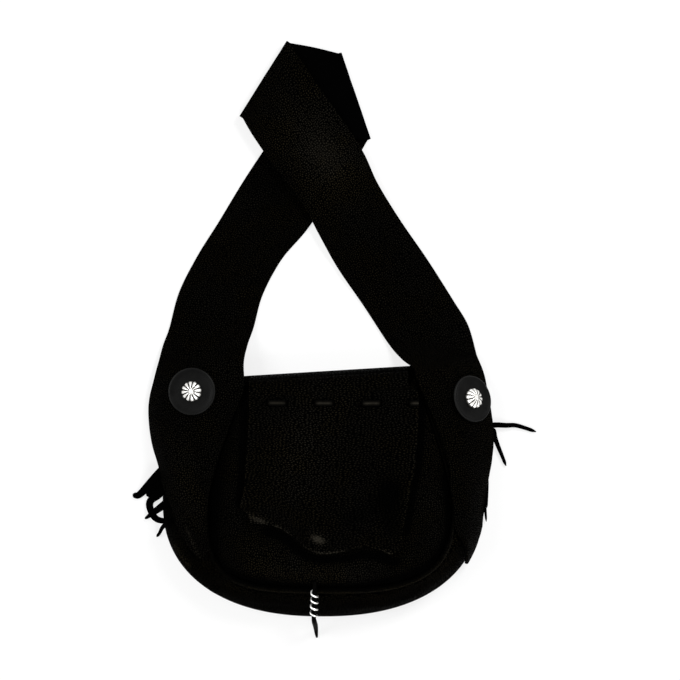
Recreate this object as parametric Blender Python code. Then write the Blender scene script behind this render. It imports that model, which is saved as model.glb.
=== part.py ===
"""Crossbody fringe bag in pebbled black leather, lying on its back with the strap folded above it.

The bag lies on the plane z = 0. +X is its right side as seen from the front, +Y points from the
bag's bottom to its mouth, and +Z leaves through the front panel. The origin is the middle of the
back panel's resting face.
"""

import math

import bmesh
import bpy
from mathutils import Matrix, Vector

MM = 0.001

# Leather
HIDE = 2.0 * MM
GUSSET_HIDE = 1.8 * MM
FRINGE_HIDE = 1.2 * MM
FOLD_SKIVE = 1.2 * MM
GAP = 0.3 * MM

# Body outline, seen from the front
BODY_HALF_WIDTH = 139 * MM
MOUTH_Y = 104 * MM
MOUTH_SLOPE = math.radians(3.6)
SHOULDER_Y = -10 * MM
BODY_BOTTOM = 100 * MM
BODY_CURVE = 2.3
SIDE_SHARE = 0.25

# How far each side swells past the half width, in mm, by its share of the way down
LEFT_SIDE = [(0, 3.8), (0.12, 7), (0.34, 9.6), (0.58, 4.2), (0.74, 0.8), (1, 0)]
RIGHT_SIDE = [(0, -6.5), (0.2, 2.4), (0.42, 8.8), (0.66, 8.2), (0.85, 4), (1, 0)]

# Front seam, where the front panel meets the gusset
FRONT_SHIFT = 7 * MM
FRONT_HALF_WIDTH = 106.5 * MM
FRONT_MOUTH_HALF_WIDTH = 75 * MM
FRONT_BOTTOM = 75 * MM
FRONT_CURVE_LEFT = 3.8
FRONT_CURVE_RIGHT = 2.9
FRONT_SETBACK = 16 * MM
SEAM_SETBACK = 11 * MM
CORNER_DIP = 0.035
MOUTH_EAR = 4 * MM
FRONT_HEIGHT = 33 * MM
FRONT_LEAN = 6 * MM
FRONT_MOUTH_DIP = 5 * MM
FRONT_CROWN = 5 * MM
FRONT_CORNER = 0.36
WELT_DIAMETER = 4.4 * MM
WELT_LIFT = 0.6 * MM
SEAM_CLEARANCE = 1.3 * MM

# Gusset section: how full each side is, from a straight slope (1) to a square shoulder (5)
FULLNESS_BOTTOM = 2.2
FULLNESS_LEFT = 5.0
FULLNESS_RIGHT = 1.9

# Flap
FLAP_LEFT = -63 * MM
FLAP_RIGHT = 75 * MM
FLAP_CLEARANCE = 1.0 * MM
HINGE_HEIGHT = 22 * MM
HINGE_BACK = 4.5 * MM
ROLL_DEPTH = 13 * MM
FLAP_SETTLE = 18 * MM
SKIVE_LENGTH = 8 * MM
LIP_MARGIN = 2 * MM
FLAP_LEFT_EDGE = [(78, -63), (50, -63.5), (20, -65.5), (0, -67), (-12, -70), (-19, -64), (-26, -62)]
FLAP_RIGHT_EDGE = [(88, 82.5), (56, 83), (24, 80.5), (-6, 75), (-32, 70), (-50, 68.5)]
FLAP_LOWER_EDGE = [(-62, -26), (-51, -27), (-34, -31), (-22, -40), (-12, -48), (2, -52),
                   (20, -50), (35, -46.5), (50, -48.5), (60, -52.5), (68.5, -50)]

# Back panel's lip as (distance inside the mouth line, height), ending just short of the flap's hinge
LIP_PROFILE = [(6.5 * MM, 2.2 * MM), (2.2 * MM, 6 * MM), (1.0 * MM, 11 * MM),
               (1.8 * MM, 16.5 * MM), (HINGE_BACK - 1.2 * MM, HINGE_HEIGHT - 1.5 * MM)]

# Running lace across the flap
LACE_Y = 77.5 * MM
LACE_WIDTH = 4.6 * MM
LACE_THICKNESS = 1.2 * MM
LACE_PITCH = 40.8 * MM
LACE_DASH = 16.5 * MM
LACE_START = -47 * MM
LACE_DASHES = 4
LACE_ROOM = 2.2 * MM
LACE_HUMP = 12 * MM
LACE_TAIL = 9 * MM
LACE_BEND = 1.6 * MM

# Strap
STRAP_WIDTH = 73 * MM
STRAP_RIDE = 4.2 * MM
FOLD_SPACING = 4.2 * MM
STRAP_STEPS = 5
STRAP_CROWN = 5 * MM

# Buttons: a dished disc, a domed twelve-petal concho and the screw behind them
DISC_DIAMETER = 41 * MM
DISC_THICKNESS = 2.6 * MM
DISC_SEAT = 1.1 * MM
DISC_SEGMENTS = 28
CONCHO_DIAMETER = 17.8 * MM
CONCHO_HEIGHT = 4.6 * MM
PETALS = 12
PETAL_STEPS = 4
CONCHO_RINGS = 5
CONCHO_RIM = 0.3
CONCHO_ROUND = 2.4
PETAL_NOTCH = 0.09
PETAL_GROOVE = 0.7 * MM
DISC_RIM = [(-1.2, 0), (0, 1.0), (-0.3, 2.1), (-1.6, 2.6), (-3.0, 2.4)]
POST_DIAMETER = 4.6 * MM
SCREW_HEAD_DIAMETER = 9 * MM
SCREW_HEAD_HEIGHT = 1.8 * MM
SCREW_SEGMENTS = 16

# Snap under the flap
SNAP_X = -3 * MM
SNAP_Y = -37 * MM
SNAP_DIAMETER = 11 * MM
SNAP_HEIGHT = 2.4 * MM
SNAP_BORE = 5.4 * MM
SNAP_POST = 4.2 * MM
SNAP_FLANGE = 0.6 * MM
SNAP_SEAT = 0.6 * MM
SNAP_EDGE = 0.6 * MM
SNAP_POST_HEIGHT = 1.6 * MM
SNAP_POST_DOME = 0.3 * MM
SNAP_ROOM = SNAP_HEIGHT + SNAP_FLANGE + 1.8 * SNAP_SEAT

# Strap ends over the gusset, tip first: distance round the bag from the mouth, outer and inner edge
LEFT_END = [(0.325, 0.70, 0.74), (0.303, 0.54, 0.93), (0.285, 0.46, 0.95), (0.271, 0.37, 0.95),
            (0.252, 0.28, 0.95), (0.223, 0.14, 0.95), (0.18, 0.04, 0.95), (0.12, 0, 0.95),
            (0.06, 0, 0.95), (0, 0, 0.95)]
RIGHT_END = [(0.328, 0.02, 0.08), (0.312, 0.05, 0.34), (0.295, 0.07, 0.62), (0.275, 0.07, 0.88),
             (0.25, 0.05, 0.95), (0.22, 0.05, 0.95), (0.17, 0.04, 0.88), (0.12, 0.04, 0.88),
             (0.04, 0, 0.93), (0, 0, 0.95)]

# Free strap, from each mouth corner to its fold: place across as a share of the body's half
# width, height above the mouth in mm, angle of the cross line, span as a share of the strap's
# width, layer it lies on, and how far its outer and inner edges climb towards the bag
LEFT_LEG = [(-0.758, 9, 0, 1.03, 0, 0.86, 0.9), (-0.735, 24, 1, 1.02, 0, 0.38, 0.42),
            (-0.698, 39, 1.3, 1.02, 0, 0.06, 0.08), (-0.639, 69, -1.4, 1.01, 0, 0, 0),
            (-0.523, 100, -2, 1.02, 0, 0, 0), (-0.377, 128, -6.6, 1.05, 0, 0, 0),
            (-0.222, 161, -10.4, 1.06, 0, 0, 0), (-0.082, 189, -26.3, 1.01, 0, 0, 0),
            (0.047, 217.5, -48.8, 1.04, 0, 0, 0), (0.196, 241.7, -71.2, 1.095, 0, 0, 0)]
MIDDLE = [(0.196, 241.7, -71.2, 1.095, 1, 0, 0), (-0.075, 248.5, -95.5, 1.0, 1, 0, 0),
          (-0.353, 255.7, -121.9, 1.065, 1, 0, 0)]
RIGHT_LEG = [(-0.353, 255.7, -121.9, 1.065, 2, 0, 0), (-0.238, 230.4, -138.4, 0.99, 2, 0, 0),
             (-0.087, 200.8, -145.3, 0.99, 1.8, 0, 0), (0.066, 170.7, -141.1, 0.955, 1.4, 0, 0),
             (0.168, 142.6, -138, 0.94, 1.2, 0, 0), (0.298, 112, -141.7, 0.95, 0.5, 0, 0),
             (0.462, 79, -144.3, 0.95, 0, 0, 0), (0.623, 44.3, -146.5, 0.94, 0, 0, 0.02),
             (0.711, 26.7, -153.8, 0.9, 0, 0, 0.28), (0.772, 10, -167.1, 0.78, 0, 0.2, 0.76)]

# Buttons, as places on the gusset: distance round from the left mouth corner, share of the way in
LEFT_BUTTON = (0.0178, 0.447, 0.45)
RIGHT_BUTTON = (0.9351, 0.333, 1)

# Fringe and tie strands: distance round from the mouth, root width, tip width, then points in
# mm from the outline there
LEFT_FRINGE = [
    (0.189, 6.6, 3.2, [(-4.6, -4.6, 8.5), (-11.2, -12.2, 5), (-17.4, -17.6, 2.6), (-22.6, -23.4, 1.8)]),
    (0.2075, 6.8, 3.6, [(-3.8, -5.2, 8), (-9.5, -10.4, 3.2), (-15.5, -15, 1.4)]),
    (0.226, 5.5, 2.4, [(-4.5, -6.5, 8), (-9, -9, 4), (-11.5, -13, 1.8), (-11.5, -17.5, 1.4),
                       (-9.5, -22.5, 1.4), (-6, -26, 1.4), (-2, -28, 1.4)]),
    (0.2465, 8, 1.4, [(-3.5, -7, 11), (-9.5, -11.5, 6), (-13.5, -14.5, 3.5), (-16.5, -16.5, 1.6)]),
    (0.264, 4.5, 1.4, [(5, -4, 25.5), (1.2, -7.5, 17), (-2.2, -11.5, 9), (-3.2, -15.5, 4.5),
                       (-4.5, -19, 1.8)]),
]
RIGHT_FRINGE = [
    (0.214, 3.4, 1.2, [(2, -12.5, 6), (2, -23.5, 2)]),
    (0.236, 4.5, 1.4, [(2.3, -10, 6.6), (3.8, -24.5, 2)]),
    (0.254, 4, 1.2, [(1.7, -7.5, 5.8), (0, -17, 2)]),
    (0.272, 3.4, 1.4, [(1.6, -4.5, 6.5), (-1.7, -16, 2.2)]),
    (0.289, 3.2, 1.2, [(0.8, -4, 6.8), (-3.4, -12.5, 3.2)]),
]
TIE_THONG = [
    (0.118, 5, 2.8, [(6.5, 0.5, 4), (13.5, 0, 2.6), (21.5, 0, 1.9), (29.5, -2, 1.6),
                       (40, -5.5, 1.3)]),
    (0.128, 5, 2.4, [(3.5, -5.5, 5), (6, -12, 3), (9.5, -20.5, 1.9), (13.5, -30.5, 1.3)]),
]
ROOT_LIFT = 1.9 * MM
ROOT_DEPTH = 0.1
STRAND_LEAVE = 3 * MM
STRAND_TAPER = 1.3

# Bottom thong, from the seam over the welt and through the wire spiral to its tip: across and
# below the seam's lowest point in mm, height as a share of the seam's, and its radii
THONG_ROUTE = [(-6, 7.5, 1.13), (-6, 4, 1.18), (-6, -1, 1.19), (-6.2, -8, 1.09),
               (-6.6, -16, 0.965), (-7, -24, 0.84), (-7.1, -28, 0.69), (-6.4, -32, 0.43),
               (-5.7, -36.5, 0.2), (-5, -41, 0.08), (-4.5, -44.5, 0.045)]
THONG_TAPER = [1, 1, 1, 1, 1, 1, 1.1, 1.08, 0.95, 0.75, 0.45]
COIL_START = -0.8 * MM

# Wire spiral on the bottom thong
THONG_DIAMETER = 3.8 * MM
WIRE_DIAMETER = 1.5 * MM
WIRE_PITCH = 6.6 * MM
WIRE_TURNS = 4
COIL_RADIUS = THONG_DIAMETER / 2 + GAP + WIRE_DIAMETER / 2

BLACK = (0.016, 0.014, 0.013)
DISC_GREY = (0.035, 0.035, 0.033)
SILVER = (0.78, 0.78, 0.76)
STEEL = (0.5, 0.5, 0.5)


def clear_scene():
    for old in list(bpy.data.objects):
        bpy.data.objects.remove(old, do_unlink=True)


def finish(name, colour, roughness, metallic):
    material = bpy.data.materials.get(name)
    if material is None:
        material = bpy.data.materials.new(name)
        material.use_nodes = True
        shader = material.node_tree.nodes["Principled BSDF"]
        shader.inputs["Base Color"].default_value = (*colour, 1)
        shader.inputs["Roughness"].default_value = roughness
        shader.inputs["Metallic"].default_value = metallic
    return material


def leather():
    return finish("black_leather", BLACK, 0.5, 0)


def blend(a, b, share):
    return a + (b - a) * share


def smooth(value):
    value = min(1, max(0, value))
    return value * value * (3 - 2 * value)


def along(points, value):
    """Straight-line reading of a table of (key, value) pairs, keys rising or falling."""
    rising = points[-1][0] > points[0][0]
    table = points if rising else points[::-1]
    for (k0, v0), (k1, v1) in zip(table, table[1:]):
        if value <= k1:
            return blend(v0, v1, max(0, (value - k0) / (k1 - k0)))
    return table[-1][1]


def eased(points, value):
    """Smooth reading of a table of rising (key, value) pairs, through every pair."""
    if value >= points[-1][0]:
        return points[-1][1]
    k = 0
    while value > points[k + 1][0]:
        k += 1
    k0, v0 = points[k]
    k1, v1 = points[k + 1]
    before = points[max(0, k - 1)]
    after = points[min(len(points) - 1, k + 2)]
    f = (value - k0) / (k1 - k0)
    m0 = (v1 - before[1]) / (k1 - before[0]) * (k1 - k0)
    m1 = (after[1] - v0) / (after[0] - k0) * (k1 - k0)
    return ((2 * f ** 3 - 3 * f ** 2 + 1) * v0 + (f ** 3 - 2 * f ** 2 + f) * m0
            + (3 * f ** 2 - 2 * f ** 3) * v1 + (f ** 3 - f ** 2) * m1)


def add_object(name, mesh, material, smooth_angle=40):
    mesh.materials.append(material)
    mesh.shade_smooth()
    mesh.set_sharp_from_angle(angle=math.radians(smooth_angle))
    obj = bpy.data.objects.new(name, mesh)
    bpy.context.collection.objects.link(obj)
    return obj


def grid_mesh(name, rows):
    """A mesh through rows of points, every row as long as the first."""
    across = len(rows[0])
    bm = bmesh.new()
    grid = [[bm.verts.new(point) for point in row] for row in rows]
    for j in range(len(rows) - 1):
        for i in range(across - 1):
            bm.faces.new((grid[j][i], grid[j][i + 1], grid[j + 1][i + 1], grid[j + 1][i]))
    mesh = bpy.data.meshes.new(name)
    bm.to_mesh(mesh)
    bm.free()
    return mesh


def thicken(obj, thickness):
    solid = obj.modifiers.new("Hide", "SOLIDIFY")
    solid.thickness = thickness
    solid.offset = 0
    solid.use_quality_normals = True
    return solid


def sheet(name, rows, thickness, material):
    obj = add_object(name, grid_mesh(name, rows), material)
    thicken(obj, thickness)
    return obj


def densify(rows, steps):
    """Catmull-Rom rows between the given rows of points."""
    out = []
    for k in range(len(rows) - 1):
        before = rows[max(0, k - 1)]
        after = rows[min(len(rows) - 1, k + 2)]
        for s in range(steps):
            f = s / steps
            row = []
            for p0, p1, p2, p3 in zip(before, rows[k], rows[k + 1], after):
                a = 2 * p1
                b = (p2 - p0) * f
                c = (2 * p0 - 5 * p1 + 4 * p2 - p3) * f ** 2
                d = (3 * p1 - p0 - 3 * p2 + p3) * f ** 3
                row.append((a + b + c + d) / 2)
            out.append(row)
    out.append(rows[-1])
    return out


def mouth_y(x):
    return MOUTH_Y + x * math.tan(MOUTH_SLOPE)


def u_curve(t, mouth_half, half, bottom, curve, shift, setback):
    """Point of a U outline; t runs from the left mouth corner (0) round to the right one (1)."""
    side = -1 if t < 0.5 else 1
    from_mouth = min(t, 1 - t)
    if from_mouth < SIDE_SHARE:
        f = from_mouth / SIDE_SHARE
        x = shift + side * blend(mouth_half, half, 1 - (1 - f) ** 1.3)
        top = mouth_y(x) - setback
        return Vector((x, blend(top, SHOULDER_Y, f), 0))
    turn = math.pi / 2 * (from_mouth - SIDE_SHARE) / (0.5 - SIDE_SHARE)
    x = shift + side * half * abs(math.cos(turn)) ** (2 / curve)
    return Vector((x, SHOULDER_Y - bottom * math.sin(turn) ** (2 / curve), 0))


def outline(t):
    point = u_curve(t, BODY_HALF_WIDTH, BODY_HALF_WIDTH, BODY_BOTTOM, BODY_CURVE, 0, -MOUTH_EAR)
    down = min(t, 1 - t) / SIDE_SHARE
    if t < 0.5:
        point.x -= eased(LEFT_SIDE, down) * MM
    else:
        point.x += eased(RIGHT_SIDE, down) * MM
    return point


def front_seam(t):
    curve = FRONT_CURVE_LEFT if t < 0.5 else FRONT_CURVE_RIGHT
    point = u_curve(t, FRONT_MOUTH_HALF_WIDTH, FRONT_HALF_WIDTH, FRONT_BOTTOM, curve,
                    FRONT_SHIFT, SEAM_SETBACK)
    point.z = front_level(point.x, point.y)
    return point


def front_level(x, y):
    """Height of the front panel's middle surface, without its crown."""
    lean = FRONT_LEAN * (x - FRONT_SHIFT) / FRONT_HALF_WIDTH
    dip = FRONT_MOUTH_DIP * smooth((y - 30 * MM) / (MOUTH_Y - 30 * MM))
    return FRONT_HEIGHT + lean - dip


def gusset_point(t, u):
    """Middle surface of the gusset; u runs from the back panel (0) to the front seam (1)."""
    outer = outline(t)
    inner = front_seam(t)
    side = min(1, abs(outer.x) / BODY_HALF_WIDTH)
    fullness = FULLNESS_LEFT if outer.x < 0 else FULLNESS_RIGHT
    power = blend(FULLNESS_BOTTOM, fullness, side * side)
    base = HIDE + GAP + GUSSET_HIDE / 2
    point = outer.lerp(inner, u)
    point.z = base + (inner.z - base) * (1 - (1 - u) ** power)
    return point


def gusset_normal(t, u):
    d = 0.004
    u0 = max(0, u - d)
    u1 = min(1, u + d)
    t0 = max(0, t - d)
    t1 = min(1, t + d)
    along_u = gusset_point(t, u1) - gusset_point(t, u0)
    along_t = gusset_point(t1, u) - gusset_point(t0, u)
    return along_u.cross(along_t).normalized() * -1


def over_gusset(t, u, lift):
    return gusset_point(t, u) + gusset_normal(t, u) * lift


def crown(x, y):
    """Extra height of the stuffed middle of the front panel."""
    across = (x - FRONT_SHIFT) / FRONT_HALF_WIDTH
    down = (y - SHOULDER_Y) / (MOUTH_Y - SHOULDER_Y if y > SHOULDER_Y else FRONT_BOTTOM)
    return FRONT_CROWN * max(0, 1 - across ** 2) * max(0, 1 - down ** 2)


def front_height(x, y):
    return front_level(x, y) + crown(x, y)


def hinge_y(x):
    return mouth_y(x) - HINGE_BACK


def make_back_panel():
    """Flat U-shaped panel with the lip that curls up at the mouth to the flap's fold."""
    steps = 56
    columns = 9
    inset = 0.5 / steps
    bm = bmesh.new()
    rim = [outline(blend(inset, 1 - inset, k / steps)) for k in range(steps + 1)]
    rim = [Vector((p.x, p.y, HIDE / 2)) for p in rim]
    left = FLAP_LEFT + LIP_MARGIN
    right = FLAP_RIGHT - LIP_MARGIN
    roots = []
    for i in range(columns):
        x = blend(right, left, i / (columns - 1))
        roots.append(Vector((x, mouth_y(x) - ROLL_DEPTH, HIDE / 2)))
    ring = [bm.verts.new(p) for p in rim]
    row = [bm.verts.new(p) for p in roots]
    bm.faces.new(ring + row)
    for back, height in LIP_PROFILE:
        upper = []
        for root in roots:
            point = Vector((root.x, mouth_y(root.x) - back, height))
            upper.append(bm.verts.new(point))
        for i in range(columns - 1):
            bm.faces.new((row[i + 1], row[i], upper[i], upper[i + 1]))
        row = upper
    bmesh.ops.recalc_face_normals(bm, faces=bm.faces)
    mesh = bpy.data.meshes.new("back_panel")
    bm.to_mesh(mesh)
    bm.free()
    obj = add_object("back_panel", mesh, leather())
    thicken(obj, HIDE)
    return obj


def make_front_panel():
    """Crowned front panel inside the welt, open at the mouth."""
    inset = WELT_DIAMETER / 2 + SEAM_CLEARANCE
    shrink = 1 - inset / FRONT_HALF_WIDTH
    side_rows = 12
    across_steps = 14
    rows = []
    for j in range(side_rows + 1):
        v = j / side_rows
        left = front_seam(FRONT_CORNER * v)
        right = front_seam(1 - FRONT_CORNER * v)
        row = []
        for i in range(across_steps + 1):
            a = i / across_steps
            bottom = front_seam(blend(FRONT_CORNER, 1 - FRONT_CORNER, a))
            top_x = blend(front_seam(0).x, front_seam(1).x, a)
            dip = smooth(min(a, 1 - a) / CORNER_DIP)
            top = Vector((top_x, mouth_y(top_x) - blend(SEAM_SETBACK, FRONT_SETBACK, dip), 0))
            ruled = left.lerp(right, a) + top.lerp(bottom, v)
            upper = front_seam(0).lerp(front_seam(1), a)
            lower = front_seam(FRONT_CORNER).lerp(front_seam(1 - FRONT_CORNER), a)
            point = ruled - upper.lerp(lower, v)
            x = FRONT_SHIFT + (point.x - FRONT_SHIFT) * shrink
            y = point.y if v == 0 else blend(point.y, SHOULDER_Y, inset / FRONT_BOTTOM * v)
            row.append(Vector((x, y, front_height(x, y))))
        rows.append(row)
    return sheet("front_panel", rows, HIDE, leather())


def make_gusset():
    steps = 44
    across = 6
    rows = []
    for j in range(steps + 1):
        t = j / steps
        width = (front_seam(t) - outline(t)).xy.length
        stop = 1 - (WELT_DIAMETER / 2 + SEAM_CLEARANCE) / width
        rows.append([gusset_point(t, stop * i / across) for i in range(across + 1)])
    return sheet("gusset", rows, GUSSET_HIDE, leather())


def tube(name, points, diameter, sides, material, radii=None):
    """A POLY curve with a round section and filled caps."""
    curve = bpy.data.curves.new(name, "CURVE")
    curve.dimensions = "3D"
    curve.bevel_depth = diameter / 2
    curve.bevel_resolution = sides
    curve.use_fill_caps = True
    spline = curve.splines.new("POLY")
    spline.points.add(len(points) - 1)
    for k, point in enumerate(points):
        spline.points[k].co = (*point, 1)
        spline.points[k].radius = radii[k] if radii else 1
    curve.materials.append(material)
    obj = bpy.data.objects.new(name, curve)
    bpy.context.collection.objects.link(obj)
    return obj


def make_welt():
    steps = 48
    points = []
    for j in range(steps + 1):
        point = front_seam(j / steps)
        point.z += WELT_LIFT
        points.append(point)
    return tube("front_welt", points, WELT_DIAMETER, 1, leather())


def flap_lift(x, y):
    """Height of the flap's middle surface over the front panel's, with its bump over the snap."""
    away = math.hypot(x - SNAP_X, y - SNAP_Y) / (SNAP_DIAMETER * 1.1)
    bump = SNAP_ROOM * math.exp(-away ** 4)
    lace = LACE_ROOM * math.exp(-((y - LACE_Y) / LACE_HUMP) ** 2)
    return HIDE + FLAP_CLEARANCE + bump + lace


def flap_roll(f):
    """Flap section from the hinge (f = 0) to where it lies on the front panel (f = 1)."""
    angle = math.pi / 2 * f
    back = blend(HINGE_BACK, FLAP_SETTLE, math.sin(angle) ** 1.4)
    return back, math.sin(angle) ** 0.4


def flap_rows():
    """Rows of the flap's middle surface from its hinge down to its ragged edge."""
    across = 17
    roll_steps = 5
    hang_steps = 14
    rows = []
    for j in range(roll_steps):
        back, rise = flap_roll(j / roll_steps)
        row = []
        for i in range(across + 1):
            x = blend(FLAP_LEFT, FLAP_RIGHT, i / across)
            settled = mouth_y(x) - FLAP_SETTLE
            top = front_height(x, settled) + flap_lift(x, settled)
            row.append(Vector((x, mouth_y(x) - back, blend(HINGE_HEIGHT, top, rise))))
        rows.append(row)
    for j in range(hang_steps + 1):
        v = j / hang_steps
        row = []
        for i in range(across + 1):
            a = i / across
            x = blend(FLAP_LEFT, FLAP_RIGHT, a)
            top = mouth_y(x) - FLAP_SETTLE
            foot_x = blend(FLAP_LOWER_EDGE[0][0], FLAP_LOWER_EDGE[-1][0], a)
            foot = along(FLAP_LOWER_EDGE, foot_x) * MM
            y = blend(top, foot, v)
            left = along([(top / MM, FLAP_LEFT / MM)] + FLAP_LEFT_EDGE, y / MM) * MM
            right = along([(top / MM, FLAP_RIGHT / MM)] + FLAP_RIGHT_EDGE, y / MM) * MM
            x = blend(left, right, a)
            row.append(Vector((x, y, front_height(x, y) + flap_lift(x, y))))
        rows.append(row)
    return rows


def about_hinge(obj):
    """Puts a flap piece's origin on the hinge line, under the shared hinge empty."""
    obj.parent = bpy.data.objects["flap_hinge"]
    obj.matrix_parent_inverse = Matrix.Translation(-Vector((0, hinge_y(0), HINGE_HEIGHT)))


def make_hinge():
    hinge = bpy.data.objects.new("flap_hinge", None)
    hinge.location = (0, hinge_y(0), HINGE_HEIGHT)
    bpy.context.collection.objects.link(hinge)


def make_flap():
    obj = sheet("flap", flap_rows(), HIDE, leather())
    skive = obj.vertex_groups.new(name="full")
    for vertex in obj.data.vertices:
        weight = smooth((hinge_y(vertex.co.x) - vertex.co.y) / SKIVE_LENGTH)
        skive.add([vertex.index], weight, "REPLACE")
    solid = obj.modifiers["Hide"]
    solid.vertex_group = "full"
    solid.thickness_vertex_group = FOLD_SKIVE / HIDE
    for k in range(LACE_DASHES):
        for end in (0, 1):
            x = LACE_START + k * LACE_PITCH + end * LACE_DASH
            if x < lace_end():
                cut(obj, slot_cutter(x))
    about_hinge(obj)
    return obj


def lace_end():
    """Where the lace runs off the flap's right edge."""
    return along(FLAP_RIGHT_EDGE, LACE_Y / MM) * MM


def lace_level(x):
    return front_height(x, LACE_Y) + flap_lift(x, LACE_Y)


def slot_cutter(x):
    """Cutter for one slot that the lace passes through."""
    size = Vector((LACE_THICKNESS + 6 * GAP, LACE_WIDTH + 4 * GAP, 4 * HIDE))
    return box_cutter("lace_slot", Vector((x, LACE_Y, lace_level(x))), size)


def box_cutter(name, centre, size):
    bm = bmesh.new()
    bmesh.ops.create_cube(bm, size=1)
    bmesh.ops.scale(bm, vec=size, verts=bm.verts)
    bmesh.ops.translate(bm, vec=centre, verts=bm.verts)
    return as_cutter(name, bm)


def as_cutter(name, bm):
    mesh = bpy.data.meshes.new(name)
    bm.to_mesh(mesh)
    bm.free()
    obj = bpy.data.objects.new(name, mesh)
    bpy.context.collection.objects.link(obj)
    obj.hide_render = True
    obj.display_type = "WIRE"
    return obj


def cut(obj, cutter):
    boolean = obj.modifiers.new("Cut", "BOOLEAN")
    boolean.operation = "DIFFERENCE"
    boolean.solver = "EXACT"
    boolean.object = cutter


def make_lace():
    """Flat lace that runs over the flap in dashes and under it between them."""
    ride = HIDE / 2 + LACE_THICKNESS / 2 + 2 * GAP
    bend = LACE_BEND
    route = [(LACE_START - LACE_TAIL, -1.1)]
    for k in range(LACE_DASHES):
        start = LACE_START + k * LACE_PITCH
        stop = start + LACE_DASH
        route += [(start - bend, -1.1), (start, -0.9), (start, 0.9), (start + bend, 1.1),
                  (blend(start, stop, 0.5), 1.2)]
        if stop < lace_end():
            route += [(stop - bend, 1.1), (stop, 0.9), (stop, -0.9), (stop + bend, -1.1)]
    points = [Vector((x, LACE_Y, lace_level(x) + side * ride)) for x, side in route]
    rows = ribbon_rows(points, LACE_WIDTH, Vector((0, 1, 0)))
    obj = sheet("flap_lace", rows, LACE_THICKNESS, finish("lace", BLACK, 0.4, 0))
    about_hinge(obj)
    return obj


def ribbon_rows(points, width, side):
    return [[p - side * width / 2, p + side * width / 2] for p in points]


def free_row(spec, outer_top, inner_top):
    """One row of points across the free strap."""
    across, above, angle, span, layer, climb_outer, climb_inner = spec
    centre = Vector((across * BODY_HALF_WIDTH, MOUTH_Y + above * MM, 0))
    reach = STRAP_WIDTH * span / 2
    cross = Vector((math.cos(math.radians(angle)), math.sin(math.radians(angle)), 0))
    lie = HIDE / 2 + layer * FOLD_SPACING
    outer = centre - cross * reach
    inner = centre + cross * reach
    outer.z = lie + climb_outer * (outer_top - lie)
    inner.z = lie + climb_inner * (inner_top - lie)
    crest = (climb_outer + climb_inner) / 2 * STRAP_CROWN
    row = []
    for i in range(STRAP_STEPS + 1):
        f = i / STRAP_STEPS
        point = outer.lerp(inner, f)
        point.z += crest * 4 * f * (1 - f)
        row.append(point)
    return row


def end_rows(table, side):
    """Rows of a strap end where it lies over the gusset; side is 0 on the left, 1 on the right."""
    rows = []
    for t, outer, inner in table:
        place = 1 - t if side else t
        row = []
        for i in range(STRAP_STEPS + 1):
            row.append(over_gusset(place, blend(outer, inner, i / STRAP_STEPS), STRAP_RIDE))
        rows.append(row)
    return rows


def fold_rows(row, outward, steps=5):
    """Half-round turn that lifts a row by one layer."""
    radius = FOLD_SPACING / 2
    rows = []
    for k in range(1, steps):
        turn = math.pi * k / steps
        shift = outward * radius * math.sin(turn)
        shift.z = radius * (1 - math.cos(turn))
        rows.append([point + shift for point in row])
    return rows


def left_normal(spec):
    angle = math.radians(spec[2])
    return Vector((-math.sin(angle), math.cos(angle), 0))


def strap_rows():
    left_end = end_rows(LEFT_END, 0)
    right_end = end_rows(RIGHT_END, 1)
    left_top = (left_end[-1][0].z, left_end[-1][-1].z)
    right_top = (right_end[-1][0].z, right_end[-1][-1].z)
    left_leg = left_end + [free_row(spec, *left_top) for spec in LEFT_LEG]
    right_leg = [free_row(spec, *right_top) for spec in RIGHT_LEG] + right_end[::-1]
    middle = [free_row(spec, 0, 0) for spec in MIDDLE]
    rows = densify(left_leg, 2)
    rows += fold_rows(left_leg[-1], left_normal(LEFT_LEG[-1]))
    rows += densify(middle, 2)
    rows += fold_rows(middle[-1], -left_normal(MIDDLE[-1]))
    rows += densify(right_leg, 2)
    for row in rows:
        for point in row:
            point.z = max(point.z, HIDE / 2)
    return rows


def make_strap():
    obj = sheet("strap", strap_rows(), HIDE, leather())
    for place in (LEFT_BUTTON, RIGHT_BUTTON):
        cut(obj, post_hole(place))
    return obj


def button_frame(place, lift):
    """Matrix with its Z axis along the button's post, leant with the strap that the disc spans."""
    t, u, lean = place
    reach_t = DISC_DIAMETER / 2 / (BODY_HALF_WIDTH * 3)
    reach_u = DISC_DIAMETER / 2 / (BODY_HALF_WIDTH - FRONT_MOUTH_HALF_WIDTH)
    along_u = gusset_point(t, min(1, u + reach_u)) - gusset_point(t, max(0, u - reach_u))
    along_t = gusset_point(min(1, t + reach_t), u) - gusset_point(max(0, t - reach_t), u)
    normal = Vector((0, 0, 1)).lerp(along_t.cross(along_u).normalized(), lean).normalized()
    turn = normal.to_track_quat("Z", "Y").to_matrix().to_4x4()
    return Matrix.Translation(gusset_point(t, u) + normal * lift) @ turn


def post_hole(place):
    bm = bmesh.new()
    radius = POST_DIAMETER / 2 + GAP
    bmesh.ops.create_cone(bm, cap_ends=True, segments=16, radius1=radius, radius2=radius,
                          depth=30 * MM)
    cutter = as_cutter("post_hole", bm)
    cutter.matrix_world = button_frame(place, STRAP_RIDE / 2)
    return cutter


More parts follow.
